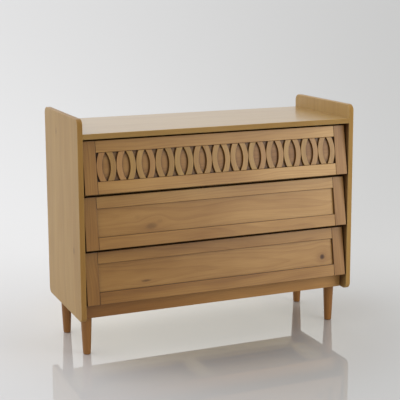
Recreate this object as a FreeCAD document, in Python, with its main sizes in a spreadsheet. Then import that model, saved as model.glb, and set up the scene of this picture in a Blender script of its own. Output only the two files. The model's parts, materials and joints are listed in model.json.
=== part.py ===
import FreeCAD, Part
import math
import os
import re
import Sketcher

# Low chest of three drawers in solid pine, standing on four turned legs.
# The drawer fronts lean back at the top and are pulled by their lower edge, so they carry no handles.
# X runs from left to right, Y from front to back and Z up; the origin is on the floor under the middle.

SIZES = {
    # Case
    "width": 1000,
    "depth": 400,
    "height": 800,
    "underside": 135,
    "side_board": 18,
    "gallery": 48,
    "corner_radius": 22,
    "edge_round": 3,
    "top_board": 18,
    "top_setback": 2,
    "top_round": 2,
    "bottom_board": 18,
    "bottom_long_rail": 67,
    "bottom_end_rail": 55,
    "bottom_middle_rail": 50,
    "plinth_height": 45,
    "plinth_board": 18,
    "plinth_setback": 45,
    "plinth_round": 1.5,
    "back_board": 5,
    "back_inset": 10,
    "back_groove": 6,
    "divider_board": 18,
    "divider_lip": 11,
    "divider_setback": 62,
    # Gaps round the drawer fronts
    "gap_bottom": 10,
    "gap_between": 12.5,
    "gap_top": 8,
    "front_gap": 3.5,
    # Leaning drawer fronts, a frame with a panel
    "front_tilt": 9.2,
    "frame_board": 20,
    "stile_width": 43.5,
    "rail_upper_share": 0.226,
    "rail_lower_share": 0.238,
    "frame_ease": 1.6,
    "frame_groove": 8,
    "panel_board": 8,
    "panel_recess": 8,
    "panel_play": 1,
    # Lens lattice of the top drawer
    "lens_count": 13,
    "slat_width": 18.8,
    "slat_board": 7,
    "slat_gap": 0.8,
    "slat_play": 0.3,
    "slat_ease": 0.8,
    "tip_gap": 3,
    # Drawer boxes
    "side_gap": 4,
    "drawer_side": 15,
    "drawer_back": 15,
    "drawer_base": 5,
    "box_drop": 26,
    "box_ease": 1.5,
    "rear_gap": 10,
    "base_land": 5,
    "base_lip": 9,
    "base_groove": 4,
    # Wooden runners and stops
    "runner_height": 18,
    "runner_reach": 12,
    "runner_share": 0.445,
    "runner_setback": 72,
    "runner_rear_gap": 6,
    "runner_play": 0.8,
    "stop_width": 44,
    "stop_board": 12,
    "stop_overlap": 8,
    "travel_share": 0.6,
    # Turned legs
    "leg_top_diameter": 40,
    "leg_foot_diameter": 26,
    "foot_round": 4,
    "leg_side_gap": 2.4,
    "leg_plinth_gap": 4,
    "leg_back_gap": 36,
    "bolt_diameter": 8,
    "bolt_in_leg": 32,
    "bolt_in_bottom": 13,
    "insert_diameter": 12,
    "insert_length": 14,
    # Dowels, cam fittings and screws
    "fit": 0.1,
    "hole_play": 0.5,
    "dowel_diameter": 8,
    "dowel_in_face": 10,
    "dowel_in_end": 19,
    "dowel_in_stile": 11,
    "cam_diameter": 15,
    "cam_depth": 12.5,
    "cam_inset": 34,
    "cam_slot": 2,
    "cam_slot_length": 9,
    "cam_slot_depth": 3,
    "cam_bolt_diameter": 7,
    "cam_bolt_in_side": 11,
    "screw_diameter": 4,
    "screw_head": 8,
    "screw_head_height": 2.6,
    "screw_length": 22,
}

TOP_DOWEL_SHARES = (0.12, 0.5, 0.88)
FRONT_RAIL_DOWEL_SHARE = 0.85
REAR_RAIL_DOWEL_SHARE = 0.62
CAM_SHARES = (0.3, 0.7)
PAIR_SHARES = (0.25, 0.75)
FRONT_DOWEL_SHARES = (0.36, 0.74)
BACK_DOWEL_SHARES = (0.25, 0.82)
RUNNER_SCREW_SHARES = (0.08, 0.5, 0.92)
BACK_SCREW_SHARES = (0.06, 0.28, 0.5, 0.72, 0.94)

SIDES = (("left", -1), ("right", 1))
DRAWERS = ("drawer_bottom", "drawer_middle", "drawer_top")

UP = FreeCAD.Vector(0, 0, 1)
DOWN = FreeCAD.Vector(0, 0, -1)
RIGHT = FreeCAD.Vector(1, 0, 0)
LEFT = FreeCAD.Vector(-1, 0, 0)
FORWARD = FreeCAD.Vector(0, -1, 0)
REARWARD = FreeCAD.Vector(0, 1, 0)

# No length at all, as a formula
ZERO = "0 * fit"

# Planes of the case, as formulas of the sizes
INNER = "(width / 2 - side_board)"
FRONT = "(-depth / 2)"
REAR = "(depth / 2)"
TOP_UNDER = "(height - gallery - top_board)"
BOTTOM_TOP = "(underside + plinth_height)"
BOTTOM_UNDER = f"({BOTTOM_TOP} - bottom_board)"
PLINTH_REAR = f"({FRONT} + plinth_setback + plinth_board)"
BACK_FACE = f"({REAR} - back_inset - back_board)"
LEG_X = f"({INNER} - leg_side_gap - leg_top_diameter / 2)"
LEG_FRONT_Y = f"({PLINTH_REAR} + leg_plinth_gap + leg_top_diameter / 2)"
LEG_REAR_Y = f"({BACK_FACE} - leg_back_gap - leg_top_diameter / 2)"
WINDOW_FRONT = f"({PLINTH_REAR} + bottom_long_rail)"
WINDOW_REAR = f"({BACK_FACE} - bottom_long_rail)"

# Lines of one drawer, measured from the lower edge of its front
FRONT_COUNT = len(DRAWERS)
FRONT_SPACE = f"({TOP_UNDER} - {BOTTOM_TOP} - gap_bottom - gap_top - {FRONT_COUNT - 1} * gap_between)"
FRONT_RISE = f"({FRONT_SPACE} / {FRONT_COUNT})"
FRONT_LENGTH = f"({FRONT_RISE} / cos(front_tilt))"
FRONT_HALF = f"({INNER} - front_gap)"
FRAME_HALF = f"({FRONT_HALF} - stile_width)"
OPENING_LOW = f"({FRONT_LENGTH} * rail_lower_share)"
OPENING_HIGH = f"({FRONT_LENGTH} * (1 - rail_upper_share))"
PANEL_REAR = "(panel_recess + panel_board)"
SIDE_OUT = f"({INNER} - side_gap)"
SIDE_IN = f"({SIDE_OUT} - drawer_side)"
BOX_REAR = f"({BACK_FACE} - rear_gap - {FRONT})"
BOX_HIGH = f"({FRONT_RISE} - box_drop)"
BASE_HIGH = f"({OPENING_LOW} - frame_groove - base_land)"
BASE_LOW = f"({BASE_HIGH} - drawer_base)"
BOX_LOW = f"({BASE_LOW} - base_lip)"
TRAVEL = f"({BOX_REAR} * travel_share)"
RUNNER_LOW = f"({BOX_LOW} + runner_share * ({BOX_HIGH} - {BOX_LOW}))"
RUNNER_HIGH = f"({RUNNER_LOW} + runner_height)"
RUNNER_LENGTH = f"({BACK_FACE} - runner_rear_gap - {FRONT} - runner_setback)"

# Turns between the upright frame of a drawer and the leaning frame of its front
TILTED_BACK = "placement(vector(0; 0; 0); rotation(vector(-1; 0; 0); front_tilt))"
TILTED_FORWARD = "placement(vector(0; 0; 0); rotation(vector(1; 0; 0); front_tilt))"

doc = FreeCAD.newDocument("ChestOfDrawers")
sheet = doc.addObject("Spreadsheet::Sheet", "Sizes")
for row, (alias, size) in enumerate(SIZES.items(), start=1):
    sheet.set(f"A{row}", alias)
    sheet.set(f"B{row}", str(size))
    sheet.setAlias(f"B{row}", alias)
doc.recompute()

nodes = []


def formula(rule):
    """Return a rule with every size name pointing at its cell of the sheet."""
    return re.sub(r"[a-z_]+", lambda word: f"Sizes.{word[0]}" if word[0] in SIZES else word[0], rule)


def value(rule):
    """Work out a rule as a plain number."""
    found = sheet.evalExpression(formula(rule))
    return float(getattr(found, "Value", found))


def bind(thing, **rules):
    """Tie properties of a document object to rules."""
    for name, rule in rules.items():
        thing.setExpression(name, formula(rule))


def put(thing, x, y, z, toward=None):
    """Tie the place of an object to rules, turned so that its own Z points a given way."""
    if toward is not None:
        thing.Placement = FreeCAD.Placement(FreeCAD.Vector(), FreeCAD.Rotation(UP, toward))
    for axis, rule in zip("xyz", (x, y, z)):
        thing.setExpression(f"Placement.Base.{axis}", formula(rule))
    return thing


def node(name, thing, frame=None):
    """Give a finished sub-part its name, and stand it in a drawer's frame if it has one."""
    thing.Label = name
    if frame is not None:
        thing.setExpression("Placement", formula(frame))
    nodes.append(thing)
    return thing


def ordered(first, second):
    """Return two rules with the smaller one first."""
    return (first, second) if value(first) < value(second) else (second, first)


def block(name, x, y, z):
    """Make a box between pairs of rules."""
    box = doc.addObject("Part::Box", name)
    pairs = [ordered(*pair) for pair in (x, y, z)]
    for side, (low, high) in zip(("Length", "Width", "Height"), pairs):
        bind(box, **{side: f"({high}) - ({low})"})
    return put(box, *(low for low, high in pairs))


def rod(name, diameter, length, at, toward):
    """Make a round bar that starts at a point and runs one way."""
    bar = doc.addObject("Part::Cylinder", name)
    bind(bar, Radius=f"({diameter}) / 2", Height=length)
    return put(bar, *at, toward)


def screw(name, at, toward, grow=ZERO):
    """Make a countersunk screw from the middle of its head, or its hole when grown."""
    head = doc.addObject("Part::Cone", f"{name}_head")
    bind(head, Radius1=f"screw_head / 2 + {grow}", Radius2=f"screw_diameter / 2 + {grow}",
         Height=f"screw_head_height + {grow}")
    shank = doc.addObject("Part::Cylinder", f"{name}_shank")
    bind(shank, Radius=f"screw_diameter / 2 + {grow}", Height=f"screw_length + {grow}")
    whole = doc.addObject("Part::Fuse", name)
    whole.Base = head
    whole.Tool = shank
    return put(whole, *at, toward)


def group(name, things):
    """Keep separate solids together in one object."""
    kept = doc.addObject("Part::Compound", name)
    kept.Links = things
    return kept


def cut(name, base, voids):
    """Take grooves and holes out of a piece."""
    tool = voids[0]
    if len(voids) > 1:
        tool = doc.addObject("Part::MultiFuse", f"{name}_voids")
        tool.Shapes = voids
    result = doc.addObject("Part::Cut", name)
    result.Base = base
    result.Tool = tool
    return result


def plane(body, role):
    """Find an origin plane or axis of a body."""
    return [part for part in body.Origin.OriginFeatures if part.Role == role][0]


def new_sketch(body, role):
    """Start a sketch on an origin plane of a body."""
    sketch = body.newObject("Sketcher::SketchObject", f"{body.Name}_sketch")
    sketch.AttachmentSupport = [(plane(body, role), "")]
    sketch.MapMode = "FlatFace"
    return sketch


def fix(sketch, kind, refs, rule):
    """Add a driving dimension to a sketch and tie it to a rule."""
    number = sketch.addConstraint(Sketcher.Constraint(kind, *refs, value(rule)))
    sketch.renameConstraint(number, f"{kind}_{number}")
    sketch.setExpression(f"Constraints.{kind}_{number}", formula(rule))


def polygon(body, role, corners):
    """Draw a closed outline whose corners are pairs of rules."""
    sketch = new_sketch(body, role)
    spots = [FreeCAD.Vector(value(a), value(b), 0) for a, b in corners]
    for number, spot in enumerate(spots):
        sketch.addGeometry(Part.LineSegment(spot, spots[(number + 1) % len(spots)]))
    for number in range(len(spots)):
        after = (number + 1) % len(spots)
        sketch.addConstraint(Sketcher.Constraint("Coincident", number, 2, after, 1))
    for number, (across, along) in enumerate(corners):
        fix(sketch, "DistanceX", (-1, 1, number, 1), across)
        fix(sketch, "DistanceY", (-1, 1, number, 1), along)
    return sketch


def pad(body, sketch, length):
    """Raise a sketch into a board."""
    raised = body.newObject("PartDesign::Pad", f"{body.Name}_pad")
    raised.Profile = sketch
    bind(raised, Length=length)
    doc.recompute()
    return raised


def dress(body, kind, size, chosen):
    """Round or bevel the edges of a body that a test picks out."""
    last = body.Tip
    names = [f"Edge{n}" for n, edge in enumerate(last.Shape.Edges, start=1) if chosen(edge.BoundBox)]
    feature = body.newObject(f"PartDesign::{kind}", f"{body.Name}_{kind.lower()}")
    feature.Base = (last, names)
    bind(feature, **{"Radius" if kind == "Fillet" else "Size": size})
    doc.recompute()
    return feature


def board(name, x, y, z):
    """Pad a rectangle into a board that lies between pairs of rules."""
    body = doc.addObject("PartDesign::Body", name)
    low, high = ordered(*z)
    outline = [(x[0], y[0]), (x[1], y[0]), (x[1], y[1]), (x[0], y[1])]
    pad(body, polygon(body, "XY_Plane", outline), f"({high}) - ({low})")
    return put(body, ZERO, ZERO, low)


def along(start, end, share):
    """Return the rule for a point at a share of the way between two rules."""
    return f"({start}) + {share} * (({end}) - ({start}))"


def dowels(name, spots, toward, near, far):
    """Make dowels through a joint face, and the holes that take them.

    Each spot lies on the joint face. A dowel starts the near depth before it and ends the far depth after.
    """
    pins = []
    holes = []
    for number, (x, y, z) in enumerate(spots):
        starts = []
        for depth in (near, f"({near} + hole_play)"):
            shifted = [f"({rule}) - {int(step)} * {depth}" for rule, step in zip((x, y, z), toward)]
            starts.append(shifted)
        pins.append(rod(f"{name}_pin_{number}", "dowel_diameter", f"{near} + {far}", starts[0], toward))
        holes.append(rod(f"{name}_hole_{number}", "dowel_diameter + 2 * fit",
                         f"{near} + {far} + 2 * hole_play", starts[1], toward))
    return pins, holes


# Holes collect here by the piece they are drilled in
side_voids = {"left": [], "right": []}
top_voids = []
long_rail_voids = []
cross_rail_voids = []
plinth_voids = []
divider_voids = {"upper": [], "lower": []}
dowel_pins = []
cam_locks = []
cam_bolts = []
runner_screws = []

DIVIDERS = tuple(enumerate(("lower", "upper"), start=1))


def drawer_level(step):
    """Return the height of the lower front edge of a drawer, counted from the lowest one."""
    return f"({BOTTOM_TOP} + gap_bottom + {step} * ({FRONT_RISE} + gap_between))"


def divider_low(step):
    """Return the height of the underside of the divider below a drawer."""
    return f"({drawer_level(step)} - gap_between / 2 - divider_board / 2)"


def cam_joint(name, sign, side, y, z, face, upward):
    """Make a cam lock in the underside of a board with its bolt in a side panel, and their holes."""
    inward = LEFT if sign > 0 else RIGHT
    cam_x = f"{sign} * ({INNER} - cam_inset)"
    body = rod(f"{name}_body", "cam_diameter", "cam_depth", (cam_x, y, face), upward)
    slot = block(f"{name}_slot", (f"{cam_x} - cam_slot_length / 2", f"{cam_x} + cam_slot_length / 2"),
                 (f"{y} - cam_slot / 2", f"{y} + cam_slot / 2"), (face, f"{face} + cam_slot_depth"))
    cam_locks.append(cut(name, body, [slot]))
    well = rod(f"{name}_well", "cam_diameter + 2 * fit", "cam_depth + hole_play", (cam_x, y, face), upward)
    start = f"{sign} * ({INNER} + cam_bolt_in_side)"
    reach = "cam_bolt_in_side + cam_inset - cam_diameter / 2 - hole_play"
    cam_bolts.append(rod(f"{name}_bolt", "cam_bolt_diameter", reach, (start, y, z), inward))
    drill = f"{sign} * ({INNER} + cam_bolt_in_side + hole_play)"
    bore = rod(f"{name}_bore", "cam_bolt_diameter + 2 * fit",
               "cam_bolt_in_side + hole_play + cam_inset", (drill, y, z), inward)
    side_voids[side].append(bore)
    return [well, bore]


def join_to_sides(name, spots, voids):
    """Dowel the ends of a board into both side panels; spots give Y and Z."""
    for side, sign in SIDES:
        inward = LEFT if sign > 0 else RIGHT
        ends = [(f"{sign} * {INNER}", y, z) for y, z in spots]
        pins, holes = dowels(f"{name}_{side}_dowel", ends, inward, "dowel_in_face", "dowel_in_end")
        dowel_pins.extend(pins)
        side_voids[side].extend(holes)
        voids.extend(holes)


# Top panel, set down between the side panels
top_middle = f"({TOP_UNDER} + top_board / 2)"
top_front = f"({FRONT} + top_setback)"
join_to_sides("top", [(along(top_front, REAR, share), top_middle) for share in TOP_DOWEL_SHARES], top_voids)
for share in CAM_SHARES:
    for side, sign in SIDES:
        at = along(top_front, REAR, share)
        top_voids += cam_joint(f"top_cam_{side}", sign, side, at, top_middle, TOP_UNDER, UP)

# Bottom frame, behind the plinth rail: two long rails on dowels, and end rails on dowels and cam locks
bottom_middle = f"({BOTTOM_UNDER} + bottom_board / 2)"
spots = [(along(PLINTH_REAR, WINDOW_FRONT, FRONT_RAIL_DOWEL_SHARE), bottom_middle),
         (along(WINDOW_REAR, BACK_FACE, REAR_RAIL_DOWEL_SHARE), bottom_middle)]
join_to_sides("bottom_long", spots, long_rail_voids)
spots = [(along(WINDOW_FRONT, WINDOW_REAR, share), bottom_middle) for share in TOP_DOWEL_SHARES]
join_to_sides("bottom_end", spots, cross_rail_voids)
for share in CAM_SHARES:
    for side, sign in SIDES:
        at = along(WINDOW_FRONT, WINDOW_REAR, share)
        cross_rail_voids += cam_joint(f"bottom_cam_{side}", sign, side, at, bottom_middle, BOTTOM_UNDER, UP)

# Dowels between the long rails and the end and middle rails, clear of the leg inserts
places = [f"{sign} * ({LEG_X} - insert_diameter / 2 - dowel_diameter)" for side, sign in SIDES]
places += [along("-bottom_middle_rail / 2", "bottom_middle_rail / 2", share) for share in PAIR_SHARES]
for row, face in (("front", WINDOW_FRONT), ("rear", WINDOW_REAR)):
    spots = [(place, face, bottom_middle) for place in places]
    pins, holes = dowels(f"bottom_{row}_dowel", spots, REARWARD, "dowel_in_end", "dowel_in_end")
    dowel_pins.extend(pins)
    long_rail_voids.extend(holes)
    cross_rail_voids.extend(holes)

# Plinth rail and the two dividers, on dowels alone
plinth_front = f"({FRONT} + plinth_setback)"
plinth_middle = f"({plinth_front} + plinth_board / 2)"
spots = [(plinth_middle, along("underside", BOTTOM_TOP, share)) for share in PAIR_SHARES]
join_to_sides("plinth", spots, plinth_voids)

divider_front = f"({FRONT} + divider_setback)"
stop_rear = f"({FRONT} + {BOX_REAR} - drawer_back - {TRAVEL} - hole_play)"
divider_rear = f"({stop_rear} + divider_lip)"
for step, name in DIVIDERS:
    middle = f"({divider_low(step)} + divider_board / 2)"
    spots = [(along(divider_front, divider_rear, share), middle) for share in PAIR_SHARES]
    join_to_sides(f"divider_{name}", spots, divider_voids[name])

# Runners with their screws, one pair for each drawer
runner_front = f"({FRONT} + runner_setback)"
runner_rear = f"({runner_front} + {RUNNER_LENGTH})"
for step, drawer in enumerate(DRAWERS):
    low = f"({drawer_level(step)} + {RUNNER_LOW})"
    high = f"({drawer_level(step)} + {RUNNER_HIGH})"
    for side, sign in SIDES:
        outward = RIGHT if sign > 0 else LEFT
        name = f"runner_{drawer.split('_')[1]}_{side}"
        face = f"{sign} * ({INNER} - runner_reach)"
        bar = block(f"{name}_bar", (face, f"{sign} * {INNER}"), (runner_front, runner_rear), (low, high))
        holes = []
        for number, share in enumerate(RUNNER_SCREW_SHARES):
            at = (face, along(runner_front, runner_rear, share), f"({low} + {high}) / 2")
            runner_screws.append(screw(f"{name}_screw_{number}", at, outward))
            holes.append(screw(f"{name}_hole_{number}", at, outward, "fit"))
        side_voids[side].extend(holes)
        node(name, cut(name, bar, holes))

# Side panels, rising past the top, with a groove for the back that is open below
for side, sign in SIDES:
    body = doc.addObject("PartDesign::Body", f"side_{side}_body")
    outline = [(FRONT, "underside"), (REAR, "underside"), (REAR, "height"), (FRONT, "height")]
    pad(body, polygon(body, "YZ_Plane", outline), "side_board")
    dress(body, "Fillet", "corner_radius", lambda box: box.XLength > box.YLength + box.ZLength)
    dress(body, "Fillet", "edge_round", lambda box: box.XLength < box.YLength + box.ZLength)
    put(body, f"{sign} * (width / 2 - side_board / 2) - side_board / 2", ZERO, ZERO)
    groove = block(f"side_{side}_groove", (f"{sign} * {INNER}", f"{sign} * ({INNER} + back_groove)"),
                   (f"{BACK_FACE} - fit", f"{REAR} - back_inset + fit"),
                   ("underside - hole_play", f"{TOP_UNDER} + back_groove"))
    node(f"side_panel_{side}", cut(f"side_panel_{side}", body, [groove] + side_voids[side]))

body = board("top_body", (f"-{INNER}", INNER), (top_front, REAR), (TOP_UNDER, f"{TOP_UNDER} + top_board"))
dress(body, "Fillet", "top_round",
      lambda box: box.XLength > box.YLength and box.YMax < value(top_front) + value("top_round"))
groove = block("top_groove", (f"-{INNER}", INNER), (f"{BACK_FACE} - fit", f"{REAR} - back_inset + fit"),
               (TOP_UNDER, f"{TOP_UNDER} + back_groove + hole_play"))
node("top_panel", cut("top_panel", body, [groove] + top_voids))

# Legs: turned, screwed into the bottom frame on a hanger bolt and a threaded insert
leg_inserts = []
leg_bolts = []
for row, leg_y in (("front", LEG_FRONT_Y), ("rear", LEG_REAR_Y)):
    for side, sign in SIDES:
        name = f"leg_{row}_{side}"
        leg_x = f"{sign} * {LEG_X}"
        body = doc.addObject("PartDesign::Body", f"{name}_body")
        profile = [(ZERO, ZERO), ("leg_foot_diameter / 2", ZERO),
                   ("leg_top_diameter / 2", BOTTOM_UNDER), (ZERO, BOTTOM_UNDER)]
        sketch = polygon(body, "XZ_Plane", profile)
        turned = body.newObject("PartDesign::Revolution", f"{name}_turning")
        turned.Profile = sketch
        turned.ReferenceAxis = (sketch, ["V_Axis"])
        doc.recompute()
        dress(body, "Fillet", "foot_round", lambda box: box.ZMax < value("foot_round") and box.XLength > 0)
        socket = rod(f"{name}_socket", "bolt_diameter + 2 * fit", "bolt_in_leg + hole_play",
                     (ZERO, ZERO, BOTTOM_UNDER), DOWN)
        node(name, put(cut(name, body, [socket]), leg_x, leg_y, ZERO))
        leg_bolts.append(rod(f"{name}_bolt", "bolt_diameter", "bolt_in_leg + bolt_in_bottom",
                             (leg_x, leg_y, f"{BOTTOM_UNDER} - bolt_in_leg"), UP))
        at = (leg_x, leg_y, BOTTOM_UNDER)
        sleeve = rod(f"{name}_sleeve", "insert_diameter", "insert_length", at, UP)
        thread = rod(f"{name}_thread", "bolt_diameter + 2 * fit", "insert_length", at, UP)
        leg_inserts.append(cut(f"{name}_insert", sleeve, [thread]))
        well = rod(f"{name}_well", "insert_diameter + 2 * fit", "insert_length + hole_play", at, UP)
        long_rail_voids.append(well)
        cross_rail_voids.append(well)

# Plinth rail, bottom frame, back panel and dividers
body = board("plinth_body", (f"-{INNER}", INNER), (plinth_front, PLINTH_REAR), ("underside", BOTTOM_TOP))
dress(body, "Fillet", "plinth_round",
      lambda box: box.XLength > box.YLength and box.YMax < value(plinth_front) + value("plinth_round"))
node("plinth_rail", cut("plinth_rail", body, plinth_voids))

back_screws = []
back_holes = []
for number, share in enumerate(BACK_SCREW_SHARES):
    at = (along(f"-{INNER}", INNER, share), f"{REAR} - back_inset", bottom_middle)
    back_screws.append(screw(f"back_screw_{number}", at, FORWARD))
    back_holes.append(screw(f"back_hole_{number}", at, FORWARD, "fit"))
long_rails = []
for row, edges in (("front", (PLINTH_REAR, WINDOW_FRONT)), ("rear", (WINDOW_REAR, BACK_FACE))):
    body = block(f"bottom_rail_{row}_body", (f"-{INNER}", INNER), edges, (BOTTOM_UNDER, BOTTOM_TOP))
    long_rails.append(cut(f"bottom_rail_{row}", body, long_rail_voids + back_holes))
node("bottom_long_rails", group("bottom_long_rails", long_rails))
cross_rails = []
for place, edges in (("left", (f"-{INNER}", f"bottom_end_rail - {INNER}")),
                     ("middle", ("-bottom_middle_rail / 2", "bottom_middle_rail / 2")),
                     ("right", (f"{INNER} - bottom_end_rail", INNER))):
    body = block(f"bottom_rail_{place}_body", edges, (WINDOW_FRONT, WINDOW_REAR), (BOTTOM_UNDER, BOTTOM_TOP))
    cross_rails.append(cut(f"bottom_rail_{place}", body, cross_rail_voids))
node("bottom_cross_rails", group("bottom_cross_rails", cross_rails))
body = block("back_body", (f"-({INNER} + back_groove - hole_play)", f"{INNER} + back_groove - hole_play"),
             (BACK_FACE, f"{REAR} - back_inset"), (BOTTOM_UNDER, f"{TOP_UNDER} + back_groove - hole_play"))
node("back_panel", cut("back_panel", body, back_holes))
for step, name in DIVIDERS:
    low = divider_low(step)
    body = block(f"divider_{name}_body", (f"-{INNER}", INNER), (divider_front, divider_rear),
                 (low, f"{low} + divider_board"))
    node(f"divider_{name}", cut(f"divider_{name}", body, divider_voids[name]))

# Stop blocks, glued under the dividers and the top, that catch the back of an open drawer
stops = []
for step, drawer in enumerate(DRAWERS):
    above = TOP_UNDER if step == FRONT_COUNT - 1 else divider_low(step + 1)
    low = f"({drawer_level(step)} + {BOX_HIGH} - stop_overlap)"
    stops.append(block(f"stop_{step}", ("-stop_width / 2", "stop_width / 2"),
                       (f"{stop_rear} - stop_board", stop_rear), (low, above)))

node("drawer_stops", group("drawer_stops", stops))
node("carcass_dowels", group("carcass_dowels", dowel_pins))
node("cam_locks", group("cam_locks", cam_locks))
node("cam_bolts", group("cam_bolts", cam_bolts))
node("runner_screws", group("runner_screws", runner_screws))
node("back_panel_screws", group("back_panel_screws", back_screws))
node("leg_inserts", group("leg_inserts", leg_inserts))
node("leg_bolts", group("leg_bolts", leg_bolts))


def lean(height, out):
    """Return how far back a plane of the leaning front lies at a height above its lower edge."""
    return f"(({out} + ({height}) * sin(front_tilt)) / cos(front_tilt))"


def front_board(name, x, z):
    """Make a member of the front frame with its front edges eased."""
    body = board(name, x, (ZERO, "frame_board"), z)
    dress(body, "Chamfer", "frame_ease", lambda box: box.YMax < value("frame_ease"))
    return body


def make_front(name, leaning, holes):
    """Make the leaning frame of a drawer with its panel."""
    groove_y = ("panel_recess - fit", f"{PANEL_REAR} + fit")
    for side, sign in SIDES:
        edge = f"{sign} * {FRAME_HALF}"
        stile = front_board(f"{name}_{side}_stile", (edge, f"{sign} * {FRONT_HALF}"),
                            (ZERO, FRONT_LENGTH))
        slot = block(f"{name}_{side}_slot", (edge, f"{sign} * ({FRAME_HALF} + frame_groove)"), groove_y,
                     (ZERO, FRONT_LENGTH))
        label = f"{name}_stile_{side}"
        node(label, cut(label, stile, [slot] + holes[side]), leaning)
    # The drawer base runs level into a groove in the leaning lower rail
    level_slot = block(f"{name}_base_slot", (f"-{FRAME_HALF}", FRAME_HALF),
                       (f"{lean(BASE_LOW, 'frame_board')} - base_groove", lean(BASE_HIGH, "frame_board")),
                       (f"{BASE_LOW} - fit", f"{BASE_HIGH} + fit"))
    tilted_slot = group(f"{name}_base_slot_tilted", [level_slot])
    bind(tilted_slot, Placement=TILTED_FORWARD)
    rails = (("lower", ZERO, OPENING_LOW, f"{OPENING_LOW} - frame_groove", OPENING_LOW, [tilted_slot]),
             ("upper", OPENING_HIGH, FRONT_LENGTH, OPENING_HIGH, f"{OPENING_HIGH} + frame_groove", []))
    for place, low, high, slot_low, slot_high, voids in rails:
        rail = front_board(f"{name}_{place}_rail", (f"-{FRAME_HALF}", FRAME_HALF), (low, high))
        reach = f"{FRAME_HALF} + frame_groove - hole_play"
        tongue_z = (low, slot_low) if place == "lower" else (slot_high, high)
        tongue = block(f"{name}_{place}_tongue", (f"-({reach})", reach), ("panel_recess", PANEL_REAR),
                       tongue_z)
        whole = doc.addObject("Part::Fuse", f"{name}_{place}_whole")
        whole.Base = rail
        whole.Tool = tongue
        slot = block(f"{name}_{place}_slot", (f"-{FRAME_HALF}", FRAME_HALF), groove_y,
                     (slot_low, slot_high))
        label = f"{name}_rail_{place}"
        node(label, cut(label, whole, [slot] + voids), leaning)
    spread = f"({FRAME_HALF} + frame_groove - panel_play)"
    panel = block(f"{name}_panel_core", (f"-{spread}", spread), ("panel_recess", PANEL_REAR),
                  (f"{OPENING_LOW} - frame_groove + panel_play",
                   f"{OPENING_HIGH} + frame_groove - panel_play"))
    node(f"{name}_panel", group(f"{name}_panel_board", [panel]), leaning)


def make_box(name, upright, front_holes):
    """Make the sides, back and base of a drawer, and return the dowels of its back."""
    pins = []
    back_voids = []
    for side, sign in SIDES:
        body = doc.addObject("PartDesign::Body", f"{name}_{side}_body")
        outline = [(lean(BOX_LOW, "frame_board"), BOX_LOW), (BOX_REAR, BOX_LOW),
                   (BOX_REAR, BOX_HIGH), (lean(BOX_HIGH, "frame_board"), BOX_HIGH)]
        pad(body, polygon(body, "YZ_Plane", outline), "drawer_side")
        dress(body, "Fillet", "box_ease",
              lambda box: box.YLength > box.XLength and box.ZMin > value(BOX_HIGH) - value("box_ease"))
        put(body, f"{sign} * ({SIDE_IN} + drawer_side / 2) - drawer_side / 2", ZERO, ZERO)
        track = block(f"{name}_{side}_track",
                      (f"{sign} * {SIDE_OUT}", f"{sign} * ({INNER} - runner_reach - runner_play)"),
                      ("runner_setback - runner_play", BOX_REAR),
                      (f"{RUNNER_LOW} - runner_play", f"{RUNNER_HIGH} + runner_play / 2"))
        base_slot = block(f"{name}_{side}_base_slot",
                          (f"{sign} * {SIDE_IN}", f"{sign} * ({SIDE_IN} + base_groove)"),
                          (lean(BOX_LOW, "frame_board"), BOX_REAR),
                          (f"{BASE_LOW} - fit", f"{BASE_HIGH} + fit"))
        inward = LEFT if sign > 0 else RIGHT
        ends = [(f"{sign} * {SIDE_IN}", f"{BOX_REAR} - drawer_back / 2", along(BOX_LOW, BOX_HIGH, share))
                for share in BACK_DOWEL_SHARES]
        made, drilled = dowels(f"{name}_{side}_back", ends, inward, "dowel_in_face", "dowel_in_end")
        pins += made
        back_voids += drilled
        label = f"{name}_side_{side}"
        node(label, cut(label, body, [track, base_slot] + drilled + [front_holes[side]]), upright)
    back = block(f"{name}_back_body", (f"-{SIDE_IN}", SIDE_IN), (f"{BOX_REAR} - drawer_back", BOX_REAR),
                 (BOX_LOW, BOX_HIGH))
    back_slot = block(f"{name}_back_slot", (f"-{SIDE_IN}", SIDE_IN),
                      (f"{BOX_REAR} - drawer_back", f"{BOX_REAR} - drawer_back + base_groove"),
                      (f"{BASE_LOW} - fit", f"{BASE_HIGH} + fit"))
    node(f"{name}_back", cut(f"{name}_back_cut", back, [back_slot] + back_voids), upright)
    spread = f"({SIDE_IN} + base_groove - hole_play)"
    sheet_board = block(f"{name}_base_board", (f"-{spread}", spread),
                        (f"{lean(BASE_LOW, 'frame_board')} - base_groove + hole_play",
                         f"{BOX_REAR} - drawer_back + base_groove - hole_play"), (BASE_LOW, BASE_HIGH))
    corners = [block(f"{name}_{side}_corner",
                     (f"{sign} * ({FRAME_HALF} - hole_play)", f"{sign} * ({SIDE_IN} + base_groove)"),
                     (f"{lean(BASE_LOW, 'frame_board')} - base_groove",
                      f"{lean(BASE_HIGH, 'frame_board')} + hole_play"), (BASE_LOW, BASE_HIGH))
               for side, sign in SIDES]
    node(f"{name}_base", cut(f"{name}_base_cut", sheet_board, corners), upright)
    return pins


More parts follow.
